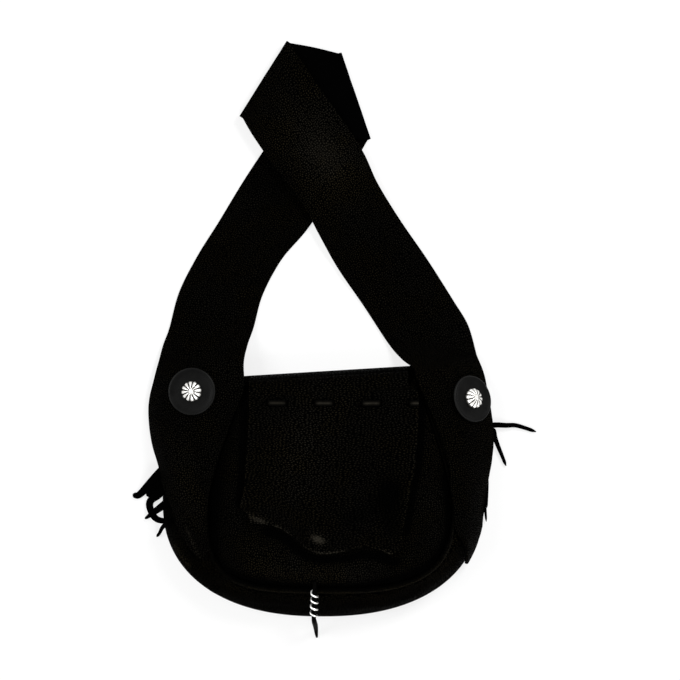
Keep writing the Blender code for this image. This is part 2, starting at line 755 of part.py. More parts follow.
def turned(name, profile, segments, material, smooth_angle=40):
    """Solid of revolution about Z from (radius, height) pairs; a closed profile makes a ring."""
    bm = bmesh.new()
    verts = [bm.verts.new((radius, 0, height)) for radius, height in profile]
    edges = [bm.edges.new(pair) for pair in zip(verts, verts[1:])]
    if profile[0][0] > 0 and profile[-1][0] > 0:
        edges.append(bm.edges.new((verts[-1], verts[0])))
    bmesh.ops.spin(bm, geom=verts + edges, cent=(0, 0, 0), axis=(0, 0, 1),
                   angle=math.tau, steps=segments, use_merge=True)
    bmesh.ops.remove_doubles(bm, verts=bm.verts, dist=0.00001)
    bmesh.ops.recalc_face_normals(bm, faces=bm.faces)
    mesh = bpy.data.meshes.new(name)
    bm.to_mesh(mesh)
    bm.free()
    return add_object(name, mesh, material, smooth_angle)


def make_button(side, place):
    """Disc, concho and the screw that holds both through the strap and the gusset."""
    seat = STRAP_RIDE + HIDE / 2 + DISC_SEAT
    radius = DISC_DIAMETER / 2
    hole = POST_DIAMETER / 2 + GAP
    rim = [(radius + back * MM, height * MM) for back, height in DISC_RIM]
    disc = turned(side + "_button_disc", [(hole, 0)] + rim + [(hole, DISC_THICKNESS)],
                  DISC_SEGMENTS, finish("button_disc", DISC_GREY, 0.35, 0))
    disc.matrix_world = button_frame(place, seat)
    concho = concho_object(side + "_concho")
    concho.matrix_world = button_frame(place, seat + DISC_THICKNESS + GAP)
    head = -(GUSSET_HIDE / 2 + 2 * GAP)
    top = seat + DISC_THICKNESS
    post = POST_DIAMETER / 2
    wide = SCREW_HEAD_DIAMETER / 2
    low = head - SCREW_HEAD_HEIGHT
    screw = turned(side + "_button_screw",
                   [(0, low), (wide - 1 * MM, low), (wide, head - 0.6 * MM), (wide, head),
                    (post, head), (post, top), (0, top)],
                   SCREW_SEGMENTS, finish("screw_steel", STEEL, 0.3, 1))
    screw.matrix_world = button_frame(place, 0)


def petal_point(f, angle):
    """Point of the concho's face at share f of its radius, between a ridge and a groove."""
    groove = 1 - abs(math.cos(PETALS / 2 * angle))
    radius = CONCHO_DIAMETER / 2 * f * (1 - PETAL_NOTCH * groove * smooth(f * 1.6 - 0.6))
    dome = (1 - f ** CONCHO_ROUND) * (1.15 - CONCHO_RIM) + CONCHO_RIM
    height = CONCHO_HEIGHT * dome - PETAL_GROOVE * groove * smooth(f * 2.5 - 0.3)
    return Vector((radius * math.cos(angle), radius * math.sin(angle), height))


def concho_object(name):
    """Domed rosette of raised petals with a scalloped rim."""
    segments = PETALS * PETAL_STEPS
    bm = bmesh.new()
    circles = []
    for k in range(1, CONCHO_RINGS + 1):
        points = [petal_point(k / CONCHO_RINGS, math.tau * m / segments) for m in range(segments)]
        circles.append([bm.verts.new(point) for point in points])
    circles.append([bm.verts.new((vert.co.x, vert.co.y, 0)) for vert in circles[-1]])
    middle = bm.verts.new(petal_point(0, 0))
    base = bm.verts.new((0, 0, 0))
    for m in range(segments):
        n = (m + 1) % segments
        bm.faces.new((middle, circles[0][m], circles[0][n]))
        bm.faces.new((base, circles[-1][n], circles[-1][m]))
        for upper, lower in zip(circles, circles[1:]):
            bm.faces.new((upper[m], lower[m], lower[n], upper[n]))
    bmesh.ops.recalc_face_normals(bm, faces=bm.faces)
    mesh = bpy.data.meshes.new(name)
    bm.to_mesh(mesh)
    bm.free()
    return add_object(name, mesh, finish("silver", SILVER, 0.25, 1), 30)


def make_comb(name, strands, table, side, material):
    """Strands cut from one strip whose root lies between the strap end and the gusset."""
    edges = [(t, outer) for t, outer, inner in table][::-1]
    bm = bmesh.new()
    inner_row = []
    outer_row = []
    for t, root_width, tip_width, points in strands:
        half = root_width * MM / 2 / (BODY_HALF_WIDTH * 3)
        for place in (t - half, t + half):
            u = along(edges, place)
            spot = 1 - place if side else place
            inner_row.append(bm.verts.new(over_gusset(spot, u + ROOT_DEPTH, ROOT_LIFT)))
            outer_row.append(bm.verts.new(over_gusset(spot, max(0, u - 0.02), ROOT_LIFT)))
    for k in range(len(inner_row) - 1):
        bm.faces.new((inner_row[k], inner_row[k + 1], outer_row[k + 1], outer_row[k]))
    for k, (t, root_width, tip_width, points) in enumerate(strands):
        pair = (outer_row[2 * k], outer_row[2 * k + 1])
        u = max(0, along(edges, t) - 0.02)
        spot = 1 - t if side else t
        slope = over_gusset(spot, u, ROOT_LIFT) - over_gusset(spot, u + 0.03, ROOT_LIFT)
        start = (pair[0].co + pair[1].co) / 2
        leave = start + slope.normalized() * STRAND_LEAVE
        edge = outline(spot)
        centre = [start, leave] + [edge + Vector(point) * MM for point in points]
        add_strand(bm, pair, centre, root_width * MM, tip_width * MM)
    bmesh.ops.recalc_face_normals(bm, faces=bm.faces)
    mesh = bpy.data.meshes.new(name)
    bm.to_mesh(mesh)
    bm.free()
    obj = add_object(name, mesh, material)
    thicken(obj, FRINGE_HIDE)
    return obj


def add_strand(bm, pair, centre, root_width, tip_width):
    dense = [row[0] for row in densify([[point] for point in centre], 2)]
    start_cross = (pair[1].co - pair[0].co).normalized()
    for k in range(1, len(dense)):
        ahead = dense[min(k + 1, len(dense) - 1)] - dense[k - 1]
        cross = Vector((-ahead.y, ahead.x, 0)).normalized()
        if cross.dot(start_cross) < 0:
            cross = -cross
        cross = start_cross.lerp(cross, min(1, k / 4)).normalized()
        share = k / (len(dense) - 1)
        half = blend(root_width, tip_width, share ** STRAND_TAPER) / 2
        upper = (bm.verts.new(dense[k] - cross * half), bm.verts.new(dense[k] + cross * half))
        bm.faces.new((pair[0], pair[1], upper[1], upper[0]))
        pair = upper
        start_cross = cross


def thong_point(spec):
    across, below, share = spec
    seam = front_seam(0.5)
    height = max(seam.z * share, THONG_DIAMETER / 2 * THONG_TAPER[-1] + GAP)
    return Vector((across * MM, seam.y + below * MM, height))


def make_bottom_thong():
    points = [[thong_point(spec)] for spec in THONG_ROUTE]
    dense = [row[0] for row in densify(points, 2)]
    steps = len(THONG_TAPER) - 1
    radii = []
    for k in range(len(dense)):
        place = k / 2
        low = min(int(place), steps - 1)
        radii.append(blend(THONG_TAPER[low], THONG_TAPER[low + 1], place - low))
    return tube("bottom_thong", dense, THONG_DIAMETER, 1, leather(), radii)


def make_coil():
    """Silver wire wound round the straight part of the bottom thong."""
    top = thong_point(THONG_ROUTE[2])
    axis = (thong_point(THONG_ROUTE[5]) - top).normalized()
    top += axis * COIL_START
    right = Vector((1, 0, 0))
    right = (right - axis * right.dot(axis)).normalized()
    front = right.cross(axis).normalized()
    if front.z < 0:
        front = -front
    per_turn = 11
    points = []
    for k in range(WIRE_TURNS * per_turn + 1):
        turn = math.tau * k / per_turn - math.pi / 3
        down = axis * WIRE_PITCH * k / per_turn
        ring = (front * math.sin(turn) - right * math.cos(turn)) * COIL_RADIUS
        points.append(top + down + ring)
    return tube("wire_spiral", points, WIRE_DIAMETER, 1, finish("silver", SILVER, 0.25, 1))


def make_snap():
    """Snap socket under the flap's lower edge and the stud it closes on."""
    panel = front_height(SNAP_X, SNAP_Y) + HIDE / 2
    bore = SNAP_BORE / 2
    outer = SNAP_DIAMETER / 2
    post = SNAP_FLANGE + SNAP_POST_HEIGHT
    steel = finish("snap_steel", STEEL, 0.3, 1)
    stud = turned("snap_stud",
                  [(0, 0), (outer - SNAP_EDGE, 0), (outer - SNAP_EDGE, SNAP_FLANGE),
                   (SNAP_POST / 2, SNAP_FLANGE), (SNAP_POST / 2, post), (0, post + SNAP_POST_DOME)],
                  20, steel)
    stud.location = (SNAP_X, SNAP_Y, panel + SNAP_SEAT)
    height = SNAP_HEIGHT
    socket = turned("snap_socket",
                    [(bore, 0), (outer - SNAP_EDGE, 0), (outer, SNAP_EDGE),
                     (outer, height - SNAP_EDGE), (outer - SNAP_EDGE, height), (bore, height)],
                    20, steel)
    hinge = Vector((0, hinge_y(0), HINGE_HEIGHT))
    socket.parent = bpy.data.objects["flap_hinge"]
    socket.location = Vector((SNAP_X, SNAP_Y, panel + SNAP_SEAT + SNAP_FLANGE + GAP)) - hinge


def main():
    clear_scene()
    make_back_panel()
    make_front_panel()
    gusset = make_gusset()
    for place in (LEFT_BUTTON, RIGHT_BUTTON):
        cut(gusset, post_hole(place))
    make_welt()
    make_hinge()
    make_flap()
    make_lace()
    make_snap()
    make_strap()
    make_button("left", LEFT_BUTTON)
    make_button("right", RIGHT_BUTTON)
    make_comb("left_fringe", LEFT_FRINGE, LEFT_END, 0, leather())
    make_comb("right_fringe", RIGHT_FRINGE, RIGHT_END, 1, leather())
    make_comb("tie_thong", TIE_THONG, RIGHT_END, 1, leather())
    make_bottom_thong()
    make_coil()


main()
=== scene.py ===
"""Fringe bag: black pebbled leather, laid on its back, with its wide strap folded above it."""

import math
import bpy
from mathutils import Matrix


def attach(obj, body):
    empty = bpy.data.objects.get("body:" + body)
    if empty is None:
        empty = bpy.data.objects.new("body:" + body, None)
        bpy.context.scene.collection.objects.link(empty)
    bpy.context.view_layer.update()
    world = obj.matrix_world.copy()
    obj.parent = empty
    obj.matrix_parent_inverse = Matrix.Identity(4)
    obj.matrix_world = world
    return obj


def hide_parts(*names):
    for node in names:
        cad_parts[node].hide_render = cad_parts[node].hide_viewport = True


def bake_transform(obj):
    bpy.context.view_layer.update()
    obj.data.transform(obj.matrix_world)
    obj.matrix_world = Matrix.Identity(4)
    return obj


bl_info = {
    "name": "Fringe Bag",
    "version": (1, 0, 0),
    "blender": (4, 5, 0),
    "location": "View3D > Sidebar > Fringe Bag",
    "description": "Builds a soft leather bag with a wide folded strap, buttons and fringe",
    "category": "Add Mesh",
}

import bmesh
import bpy
from bpy.props import FloatProperty, FloatVectorProperty, IntProperty, PointerProperty
from mathutils import Matrix, Vector, noise

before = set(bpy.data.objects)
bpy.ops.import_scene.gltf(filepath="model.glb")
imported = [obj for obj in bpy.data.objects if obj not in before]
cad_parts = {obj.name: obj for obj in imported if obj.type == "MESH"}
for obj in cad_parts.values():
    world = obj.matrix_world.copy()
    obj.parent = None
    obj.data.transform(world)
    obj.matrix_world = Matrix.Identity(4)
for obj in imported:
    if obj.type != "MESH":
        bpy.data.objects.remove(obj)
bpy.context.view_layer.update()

MM = 0.001

# Leather thicknesses, as in the part; the flap and strap are skived to a share of theirs
HIDE = 2.0 * MM
GUSSET_HIDE = 1.8 * MM
FRINGE_HIDE = 1.2 * MM
SKIVED = 0.9
GAP = 0.3 * MM

# Body outline and front seam, as in the part
BODY_HALF_WIDTH = 139 * MM
MOUTH_Y = 104 * MM
MOUTH_SLOPE = math.radians(3.6)
SHOULDER_Y = -10 * MM
BODY_BOTTOM = 100 * MM
BODY_CURVE = 2.3
SIDE_SHARE = 0.25
LEFT_SIDE = [(0, 3.8), (0.12, 7), (0.34, 9.6), (0.58, 4.2), (0.74, 0.8), (1, 0)]
RIGHT_SIDE = [(0, -6.5), (0.2, 2.4), (0.42, 8.8), (0.66, 8.2), (0.85, 4), (1, 0)]
MOUTH_EAR = 4 * MM
FRONT_SHIFT = 7 * MM
FRONT_HALF_WIDTH = 106.5 * MM
FRONT_MOUTH_HALF_WIDTH = 75 * MM
FRONT_BOTTOM = 75 * MM
FRONT_CURVE_LEFT = 3.8
FRONT_CURVE_RIGHT = 2.9
FRONT_SETBACK = 16 * MM
SEAM_SETBACK = 11 * MM
CORNER_DIP = 0.035
FRONT_HEIGHT = 33 * MM
FRONT_LEAN = 6 * MM
FRONT_MOUTH_DIP = 5 * MM
FRONT_CROWN = 5 * MM
FRONT_CORNER = 0.36
WELT_DIAMETER = 4.4 * MM
WELT_LIFT = 0.6 * MM
FULLNESS_BOTTOM = 2.2
FULLNESS_LEFT = 5.0
FULLNESS_RIGHT = 1.9

# Flap, as in the part
FLAP_LEFT = -63 * MM
FLAP_RIGHT = 75 * MM
FLAP_CLEARANCE = 1.0 * MM
HINGE_HEIGHT = 22 * MM
HINGE_BACK = 4.5 * MM
FLAP_SETTLE = 18 * MM
LIP_MARGIN = 2 * MM
FLAP_LEFT_EDGE = [(78, -63), (50, -63.5), (20, -65.5), (0, -67), (-12, -70), (-19, -64), (-26, -62)]
FLAP_RIGHT_EDGE = [(88, 82.5), (56, 83), (24, 80.5), (-6, 75), (-32, 70), (-50, 68.5)]
FLAP_LOWER_EDGE = [(-62, -26), (-51, -27), (-34, -31), (-22, -40), (-12, -48), (2, -52),
                   (20, -50), (35, -46.5), (50, -48.5), (60, -52.5), (68.5, -50)]
LIP_PROFILE = [(6.5 * MM, 2.2 * MM), (2.2 * MM, 6 * MM), (1.0 * MM, 11 * MM),
               (1.8 * MM, 16.5 * MM), (HINGE_BACK - 1.2 * MM, HINGE_HEIGHT - 1.5 * MM)]
LACE_Y = 77.5 * MM
LACE_WIDTH = 4.6 * MM
LACE_THICKNESS = 1.2 * MM
LACE_PITCH = 40.8 * MM
LACE_DASH = 16.5 * MM
LACE_START = -47 * MM
LACE_DASHES = 4
LACE_ROOM = 2.2 * MM
LACE_HUMP = 12 * MM
LACE_TAIL = 9 * MM
SNAP_X = -3 * MM
SNAP_Y = -37 * MM
SNAP_DIAMETER = 11 * MM
SNAP_ROOM = 4.08 * MM

# Strap, as in the part. An end's rows are (share round the outline, outer, inner share up the
# gusset). A leg's rows are (share across, mm above the mouth, angle, width, layer, climb outside,
# climb inside).
STRAP_WIDTH = 73 * MM
STRAP_RIDE = 4.2 * MM
FOLD_SPACING = 4.2 * MM
STRAP_CROWN = 5 * MM
LEFT_END = [(0.325, 0.70, 0.74), (0.303, 0.54, 0.93), (0.285, 0.46, 0.95), (0.271, 0.37, 0.95),
            (0.252, 0.28, 0.95), (0.223, 0.14, 0.95), (0.18, 0.04, 0.95), (0.12, 0, 0.95),
            (0.06, 0, 0.95), (0, 0, 0.95)]
RIGHT_END = [(0.328, 0.02, 0.08), (0.312, 0.05, 0.34), (0.295, 0.07, 0.62), (0.275, 0.07, 0.88),
             (0.25, 0.05, 0.95), (0.22, 0.05, 0.95), (0.17, 0.04, 0.88), (0.12, 0.04, 0.88),
             (0.04, 0, 0.93), (0, 0, 0.95)]
LEFT_LEG = [(-0.758, 9, 0, 1.03, 0, 0.86, 0.9), (-0.735, 24, 1, 1.02, 0, 0.38, 0.42),
            (-0.698, 39, 1.3, 1.02, 0, 0.06, 0.08), (-0.639, 69, -1.4, 1.01, 0, 0, 0),
            (-0.523, 100, -2, 1.02, 0, 0, 0), (-0.377, 128, -6.6, 1.05, 0, 0, 0),
            (-0.222, 161, -10.4, 1.06, 0, 0, 0), (-0.082, 189, -26.3, 1.01, 0, 0, 0),
            (0.047, 217.5, -48.8, 1.04, 0, 0, 0), (0.196, 241.7, -71.2, 1.095, 0, 0, 0)]
MIDDLE = [(0.196, 241.7, -71.2, 1.095, 1, 0, 0), (-0.075, 248.5, -95.5, 1.0, 1, 0, 0),
          (-0.353, 255.7, -121.9, 1.065, 1, 0, 0)]
RIGHT_LEG = [(-0.353, 255.7, -121.9, 1.065, 2, 0, 0), (-0.238, 230.4, -138.4, 0.99, 2, 0, 0),
             (-0.087, 200.8, -145.3, 0.99, 1.8, 0, 0), (0.066, 170.7, -141.1, 0.955, 1.4, 0, 0),
             (0.168, 142.6, -138, 0.94, 1.2, 0, 0), (0.298, 112, -141.7, 0.95, 0.5, 0, 0),
             (0.462, 79, -144.3, 0.95, 0, 0, 0), (0.623, 44.3, -146.5, 0.94, 0, 0, 0.02),
             (0.711, 26.7, -153.8, 0.9, 0, 0, 0.28), (0.772, 10, -167.1, 0.78, 0, 0.2, 0.76)]

# Buttons, as in the part, each placed at (share round the outline, share up the gusset, lean)
DISC_DIAMETER = 41 * MM
DISC_THICKNESS = 2.6 * MM
DISC_SEAT = 1.1 * MM
CONCHO_DIAMETER = 17.8 * MM
CONCHO_HEIGHT = 4.6 * MM
PETALS = 12
POST_DIAMETER = 4.6 * MM
LEFT_BUTTON = (0.0178, 0.447, 0.45)
RIGHT_BUTTON = (0.9351, 0.333, 1)

# Fringe and thongs, as in the part, but with more curl in the left strands. A strand is (share
# round the outline, root width, tip width, points), in mm from the outline.
LEFT_FRINGE = [
    (0.189, 8.8, 4.4, [(-5.2, -4.2, 8.5), (-12.2, -11.6, 5), (-18.6, -18.6, 2.6),
                       (-22.6, -21.4, 1.8), (-26.6, -20.2, 1.8)]),
    (0.2075, 8.8, 5, [(-3.8, -5.2, 8), (-9.5, -10, 3.2), (-15, -13.2, 1.4)]),
    (0.2225, 7, 4.6, [(-4.5, -6, 8), (-10.6, -10.3, 4), (-12.5, -14.5, 1.8), (-11.8, -19, 1.4),
                      (-9.5, -24, 1.4), (-6, -27.5, 1.4), (-1, -28.9, 1.4), (2.6, -28.8, 1.4)]),
    (0.2465, 8, 1.4, [(-3.5, -7, 11), (-9.5, -11.5, 6), (-13.5, -14.5, 3.5), (-16.5, -16.5, 1.6)]),
    (0.264, 4.5, 2.2, [(5, -4, 25.5), (1.2, -7.5, 17), (-1.8, -11, 9), (-3.9, -15, 4.5),
                       (-6.6, -18.8, 1.8)]),
]
RIGHT_FRINGE = [
    (0.214, 3.4, 1.2, [(2, -12.5, 6), (2, -23.5, 2)]),
    (0.236, 4.5, 1.4, [(2.3, -10, 6.6), (3.8, -24.5, 2)]),
    (0.254, 4, 1.2, [(1.7, -7.5, 5.8), (0, -17, 2)]),
    (0.272, 3.4, 1.4, [(1.6, -4.5, 6.5), (-1.7, -16, 2.2)]),
    (0.289, 3.2, 1.2, [(0.8, -4, 6.8), (-3.4, -12.5, 3.2)]),
]
TIE_THONG = [
    (0.118, 5, 2.8, [(6.5, 0.5, 4), (13.5, 0, 2.6), (21.5, 0, 1.9), (29.5, -2, 1.6),
                       (40, -5.5, 1.3)]),
    (0.128, 5, 2.4, [(3.5, -5.5, 5), (6, -12, 3), (9.5, -20.5, 1.9), (13.5, -30.5, 1.3)]),
]
ROOT_LIFT = 1.9 * MM
ROOT_DEPTH = 0.1
STRAND_LEAVE = 3 * MM
STRAND_TAPER = 1.3
THONG_ROUTE = [(-6, 7.5, 1.13), (-6, 4, 1.18), (-6, -1, 1.19), (-6.2, -8, 1.09),
               (-6.6, -16, 0.965), (-6.9, -24, 0.84), (-6.5, -28, 0.69), (-5.8, -32, 0.43),
               (-5.3, -36.5, 0.2), (-4.9, -41, 0.08), (-4.5, -44.5, 0.045)]
THONG_TAPER = [1, 1, 1, 1, 1, 1, 1.2, 1.2, 1.02, 0.78, 0.45]
COIL_START = -0.8 * MM
THONG_DIAMETER = 3.8 * MM
WIRE_DIAMETER = 1.5 * MM
WIRE_OVAL = 1.25
WIRE_PITCH = 6.6 * MM
WIRE_TURNS = 4

# Stage: the floor point under the camera, its sensor, and how bright floor and world look
CAMERA_OVER = (0.01584, 0.132)
SENSOR = 36
FLOOR_GLOW = 0.72
WORLD_LIGHT = 0.4


class LeatherSettings(bpy.types.PropertyGroup):
    colour: FloatVectorProperty(
        name="Leather colour", description="Colour of the grain side", subtype="COLOR",
        size=3, min=0, max=1, default=(0.0009, 0.0008, 0.0006))
    flesh: FloatVectorProperty(
        name="Flesh colour", description="Colour of the rough inner side", subtype="COLOR",
        size=3, min=0, max=1, default=(0.0002, 0.0002, 0.0002))
    grain: FloatProperty(
        name="Grain size", description="Distance from pebble to pebble",
        unit="LENGTH", min=0.0005, max=0.01, default=0.0019)
    hide: FloatProperty(
        name="Hide thickness", description="Thickness of the panels and the strap",
        unit="LENGTH", min=0.0005, max=0.005, default=HIDE)


class HardwareSettings(bpy.types.PropertyGroup):
    disc: FloatVectorProperty(
        name="Disc colour", description="Colour of the two button discs", subtype="COLOR",
        size=3, min=0, max=1, default=(0.0025, 0.0025, 0.0024))
    silver: FloatVectorProperty(
        name="Silver colour", description="Colour of the conchos and the wire", subtype="COLOR",
        size=3, min=0, max=1, default=(0.86, 0.85, 0.82))
    patina: FloatVectorProperty(
        name="Patina colour", description="Colour in the silver's recesses", subtype="COLOR",
        size=3, min=0, max=1, default=(0.03, 0.028, 0.025))
    petals: IntProperty(
        name="Petals", description="Petals round each concho", min=6, max=24, default=PETALS)


class StageSettings(bpy.types.PropertyGroup):
    camera_height: FloatProperty(
        name="Camera height", description="Height of the camera above the floor",
        unit="LENGTH", min=0.5, max=5, default=2.0)
    view_width: FloatProperty(
        name="View width", description="Width of floor that the camera sees",
        unit="LENGTH", min=0.2, max=2, default=0.5984)
    floor: FloatVectorProperty(
        name="Floor colour", description="Colour of the floor and backdrop", subtype="COLOR",
        size=3, min=0, max=1, default=(0.93, 0.93, 0.93))


def blend(a, b, share):
    return a + (b - a) * share


def smooth(value):
    value = min(1, max(0, value))
    return value * value * (3 - 2 * value)


def along(points, value):
    """Straight-line reading of a table of (key, value) pairs, keys rising or falling."""
    rising = points[-1][0] > points[0][0]
    table = points if rising else points[::-1]
    for (k0, v0), (k1, v1) in zip(table, table[1:]):
        if value <= k1:
            return blend(v0, v1, max(0, (value - k0) / (k1 - k0)))
    return table[-1][1]


def eased(points, value):
    """Smooth reading of the same kind of table, through every pair."""
    rising = points[-1][0] > points[0][0]
    table = points if rising else points[::-1]
    if value <= table[0][0]:
        return table[0][1]
    for k in range(len(table) - 1):
        k0, v0 = table[k]
        k1, v1 = table[k + 1]
        if value <= k1:
            before = table[max(0, k - 1)]
            after = table[min(len(table) - 1, k + 2)]
            f = (value - k0) / (k1 - k0)
            m0 = (v1 - before[1]) / (k1 - before[0]) * (k1 - k0)
            m1 = (after[1] - v0) / (after[0] - k0) * (k1 - k0)
            return ((2 * f ** 3 - 3 * f ** 2 + 1) * v0 + (f ** 3 - 2 * f ** 2 + f) * m0
                    + (3 * f ** 2 - 2 * f ** 3) * v1 + (f ** 3 - f ** 2) * m1)
    return table[-1][1]


def ripple(point, size, seed):
    """Smooth noise from -1 to 1, size metres from crest to crest."""
    return noise.noise(Vector(point) / size + Vector((seed * 7.31, seed * 3.17, seed * 1.93)))


def crease(point, line, width):
    """1 on a line of (x, y) points in mm, falling to 0 over width, and fading at its ends."""
    p = Vector((point[0], point[1])) / MM
    reach = 2.5 * width
    for axis in (0, 1):
        marks = [place[axis] for place in line]
        if not min(marks) - reach <= p[axis] <= max(marks) + reach:
            return 0
    corners = [Vector(place) for place in line]
    lengths = [(b - a).length for a, b in zip(corners, corners[1:])]
    total = sum(lengths)
    fade_out = min(total / 2, 3 * width)
    before = 0
    best = 0
    for a, b, length in zip(corners, corners[1:], lengths):
        f = min(1, max(0, (p - a).dot(b - a) / length ** 2))
        away = (p - a.lerp(b, f)).length
        place = before + f * length
        fade = smooth(min(place, total - place) / fade_out)
        best = max(best, math.exp(-(away / width) ** 2) * fade)
        before += length
    return best


def rumple(co, marks, *waves):
    """Sum of creases, as (line, width, height) rows, and ripples, as (height, size in mm, seed)."""
    lift = sum(height * ripple(co, size * MM, seed) for height, size, seed in waves)
    for line, width, height in marks:
        lift += height * crease(co, line, width)
    return lift


def painted(marks):
    """Painted highlights (above 0) and painted shade (down to -1, black) for grid_shape, from (line,
    width, amount) rows.
    """
    return lambda a, b, co: rumple(co, marks)


# Surfaces, as in the part

def mouth_y(x):
    return MOUTH_Y + x * math.tan(MOUTH_SLOPE)


def u_curve(t, mouth_half, half, bottom, curve, shift, setback):
    """Point of a U outline; t runs from the left mouth corner (0) round to the right one (1)."""
    side = -1 if t < 0.5 else 1
    from_mouth = min(t, 1 - t)
    if from_mouth < SIDE_SHARE:
        f = from_mouth / SIDE_SHARE
        x = shift + side * blend(mouth_half, half, 1 - (1 - f) ** 1.3)
        top = mouth_y(x) - setback
        return Vector((x, blend(top, SHOULDER_Y, f), 0))
    turn = math.pi / 2 * (from_mouth - SIDE_SHARE) / (0.5 - SIDE_SHARE)
    x = shift + side * half * abs(math.cos(turn)) ** (2 / curve)
    return Vector((x, SHOULDER_Y - bottom * math.sin(turn) ** (2 / curve), 0))


def outline(t):
    point = u_curve(t, BODY_HALF_WIDTH, BODY_HALF_WIDTH, BODY_BOTTOM, BODY_CURVE, 0, -MOUTH_EAR)
    down = min(t, 1 - t) / SIDE_SHARE
    if t < 0.5:
        point.x -= eased(LEFT_SIDE, down) * MM
    else:
        point.x += eased(RIGHT_SIDE, down) * MM
    return point


def front_level(x, y):
    lean = FRONT_LEAN * (x - FRONT_SHIFT) / FRONT_HALF_WIDTH
    dip = FRONT_MOUTH_DIP * smooth((y - 30 * MM) / (MOUTH_Y - 30 * MM))
    return FRONT_HEIGHT + lean - dip


def front_seam(t):
    curve = FRONT_CURVE_LEFT if t < 0.5 else FRONT_CURVE_RIGHT
    point = u_curve(t, FRONT_MOUTH_HALF_WIDTH, FRONT_HALF_WIDTH, FRONT_BOTTOM, curve,
                    FRONT_SHIFT, SEAM_SETBACK)
    point.z = front_level(point.x, point.y)
    return point


def gusset_point(t, u):
    """Middle surface of the gusset; u runs from the back panel (0) to the front seam (1)."""
    outer = outline(t)
    inner = front_seam(t)
    side = min(1, abs(outer.x) / BODY_HALF_WIDTH)
    fullness = FULLNESS_LEFT if outer.x < 0 else FULLNESS_RIGHT
    power = blend(FULLNESS_BOTTOM, fullness, side * side)
    base = HIDE + GAP + GUSSET_HIDE / 2
    point = outer.lerp(inner, u)
    point.z = base + (inner.z - base) * (1 - (1 - min(1, u)) ** power)
    return point


def gusset_normal(t, u):
    d = 0.004
    u0 = max(0, u - d)
    u1 = min(1, u + d)
    t0 = max(0, t - d)
    t1 = min(1, t + d)
    along_u = gusset_point(t, u1) - gusset_point(t, u0)
    along_t = gusset_point(t1, u) - gusset_point(t0, u)
    return along_u.cross(along_t).normalized() * -1


def over_gusset(t, u, lift):
    return gusset_point(t, u) + gusset_normal(t, u) * lift


def crown(x, y):
    across = (x - FRONT_SHIFT) / FRONT_HALF_WIDTH
    down = (y - SHOULDER_Y) / (MOUTH_Y - SHOULDER_Y if y > SHOULDER_Y else FRONT_BOTTOM)
    return FRONT_CROWN * max(0, 1 - across ** 2) * max(0, 1 - down ** 2)


def front_height(x, y):
    return front_level(x, y) + crown(x, y)


def flap_lift(x, y):
    away = math.hypot(x - SNAP_X, y - SNAP_Y) / (SNAP_DIAMETER * 1.1)
    bump = SNAP_ROOM * math.exp(-away ** 4)
    lace = LACE_ROOM * math.exp(-((y - LACE_Y) / LACE_HUMP) ** 2)
    return HIDE + FLAP_CLEARANCE + bump + lace


def densify(rows, steps):
    """Catmull-Rom rows between the given rows of points."""
    out = []
    for k in range(len(rows) - 1):
        before = rows[max(0, k - 1)]
        after = rows[min(len(rows) - 1, k + 2)]
        for s in range(steps):
            f = s / steps
            row = []
            for p0, p1, p2, p3 in zip(before, rows[k], rows[k + 1], after):
                a = 2 * p1
                b = (p2 - p0) * f
                c = (2 * p0 - 5 * p1 + 4 * p2 - p3) * f ** 2
                d = (3 * p1 - p0 - 3 * p2 + p3) * f ** 3
                row.append((a + b + c + d) / 2)
            out.append(row)
    out.append(rows[-1])
    return out


# Finishes

# Shades of the grain side, as multiples of the leather's colour
# Creases get painted shade; pebble tops, grey or brown, are paler from wear and as a painted highlight
CREASE_PAINTED_SHADE = 0.05
TOP_WEAR_AND_HIGHLIGHT_SHADE = 5.6
BROWN_TOP_WEAR_AND_HIGHLIGHT_SHADE = (7.4, 6.6, 4.5)
# Painted highlight shades, for the strongest light_and_wear marks
PAINTED_HIGHLIGHT_SHADES = (12, 30)
GRAIN_SHINE = 0.006


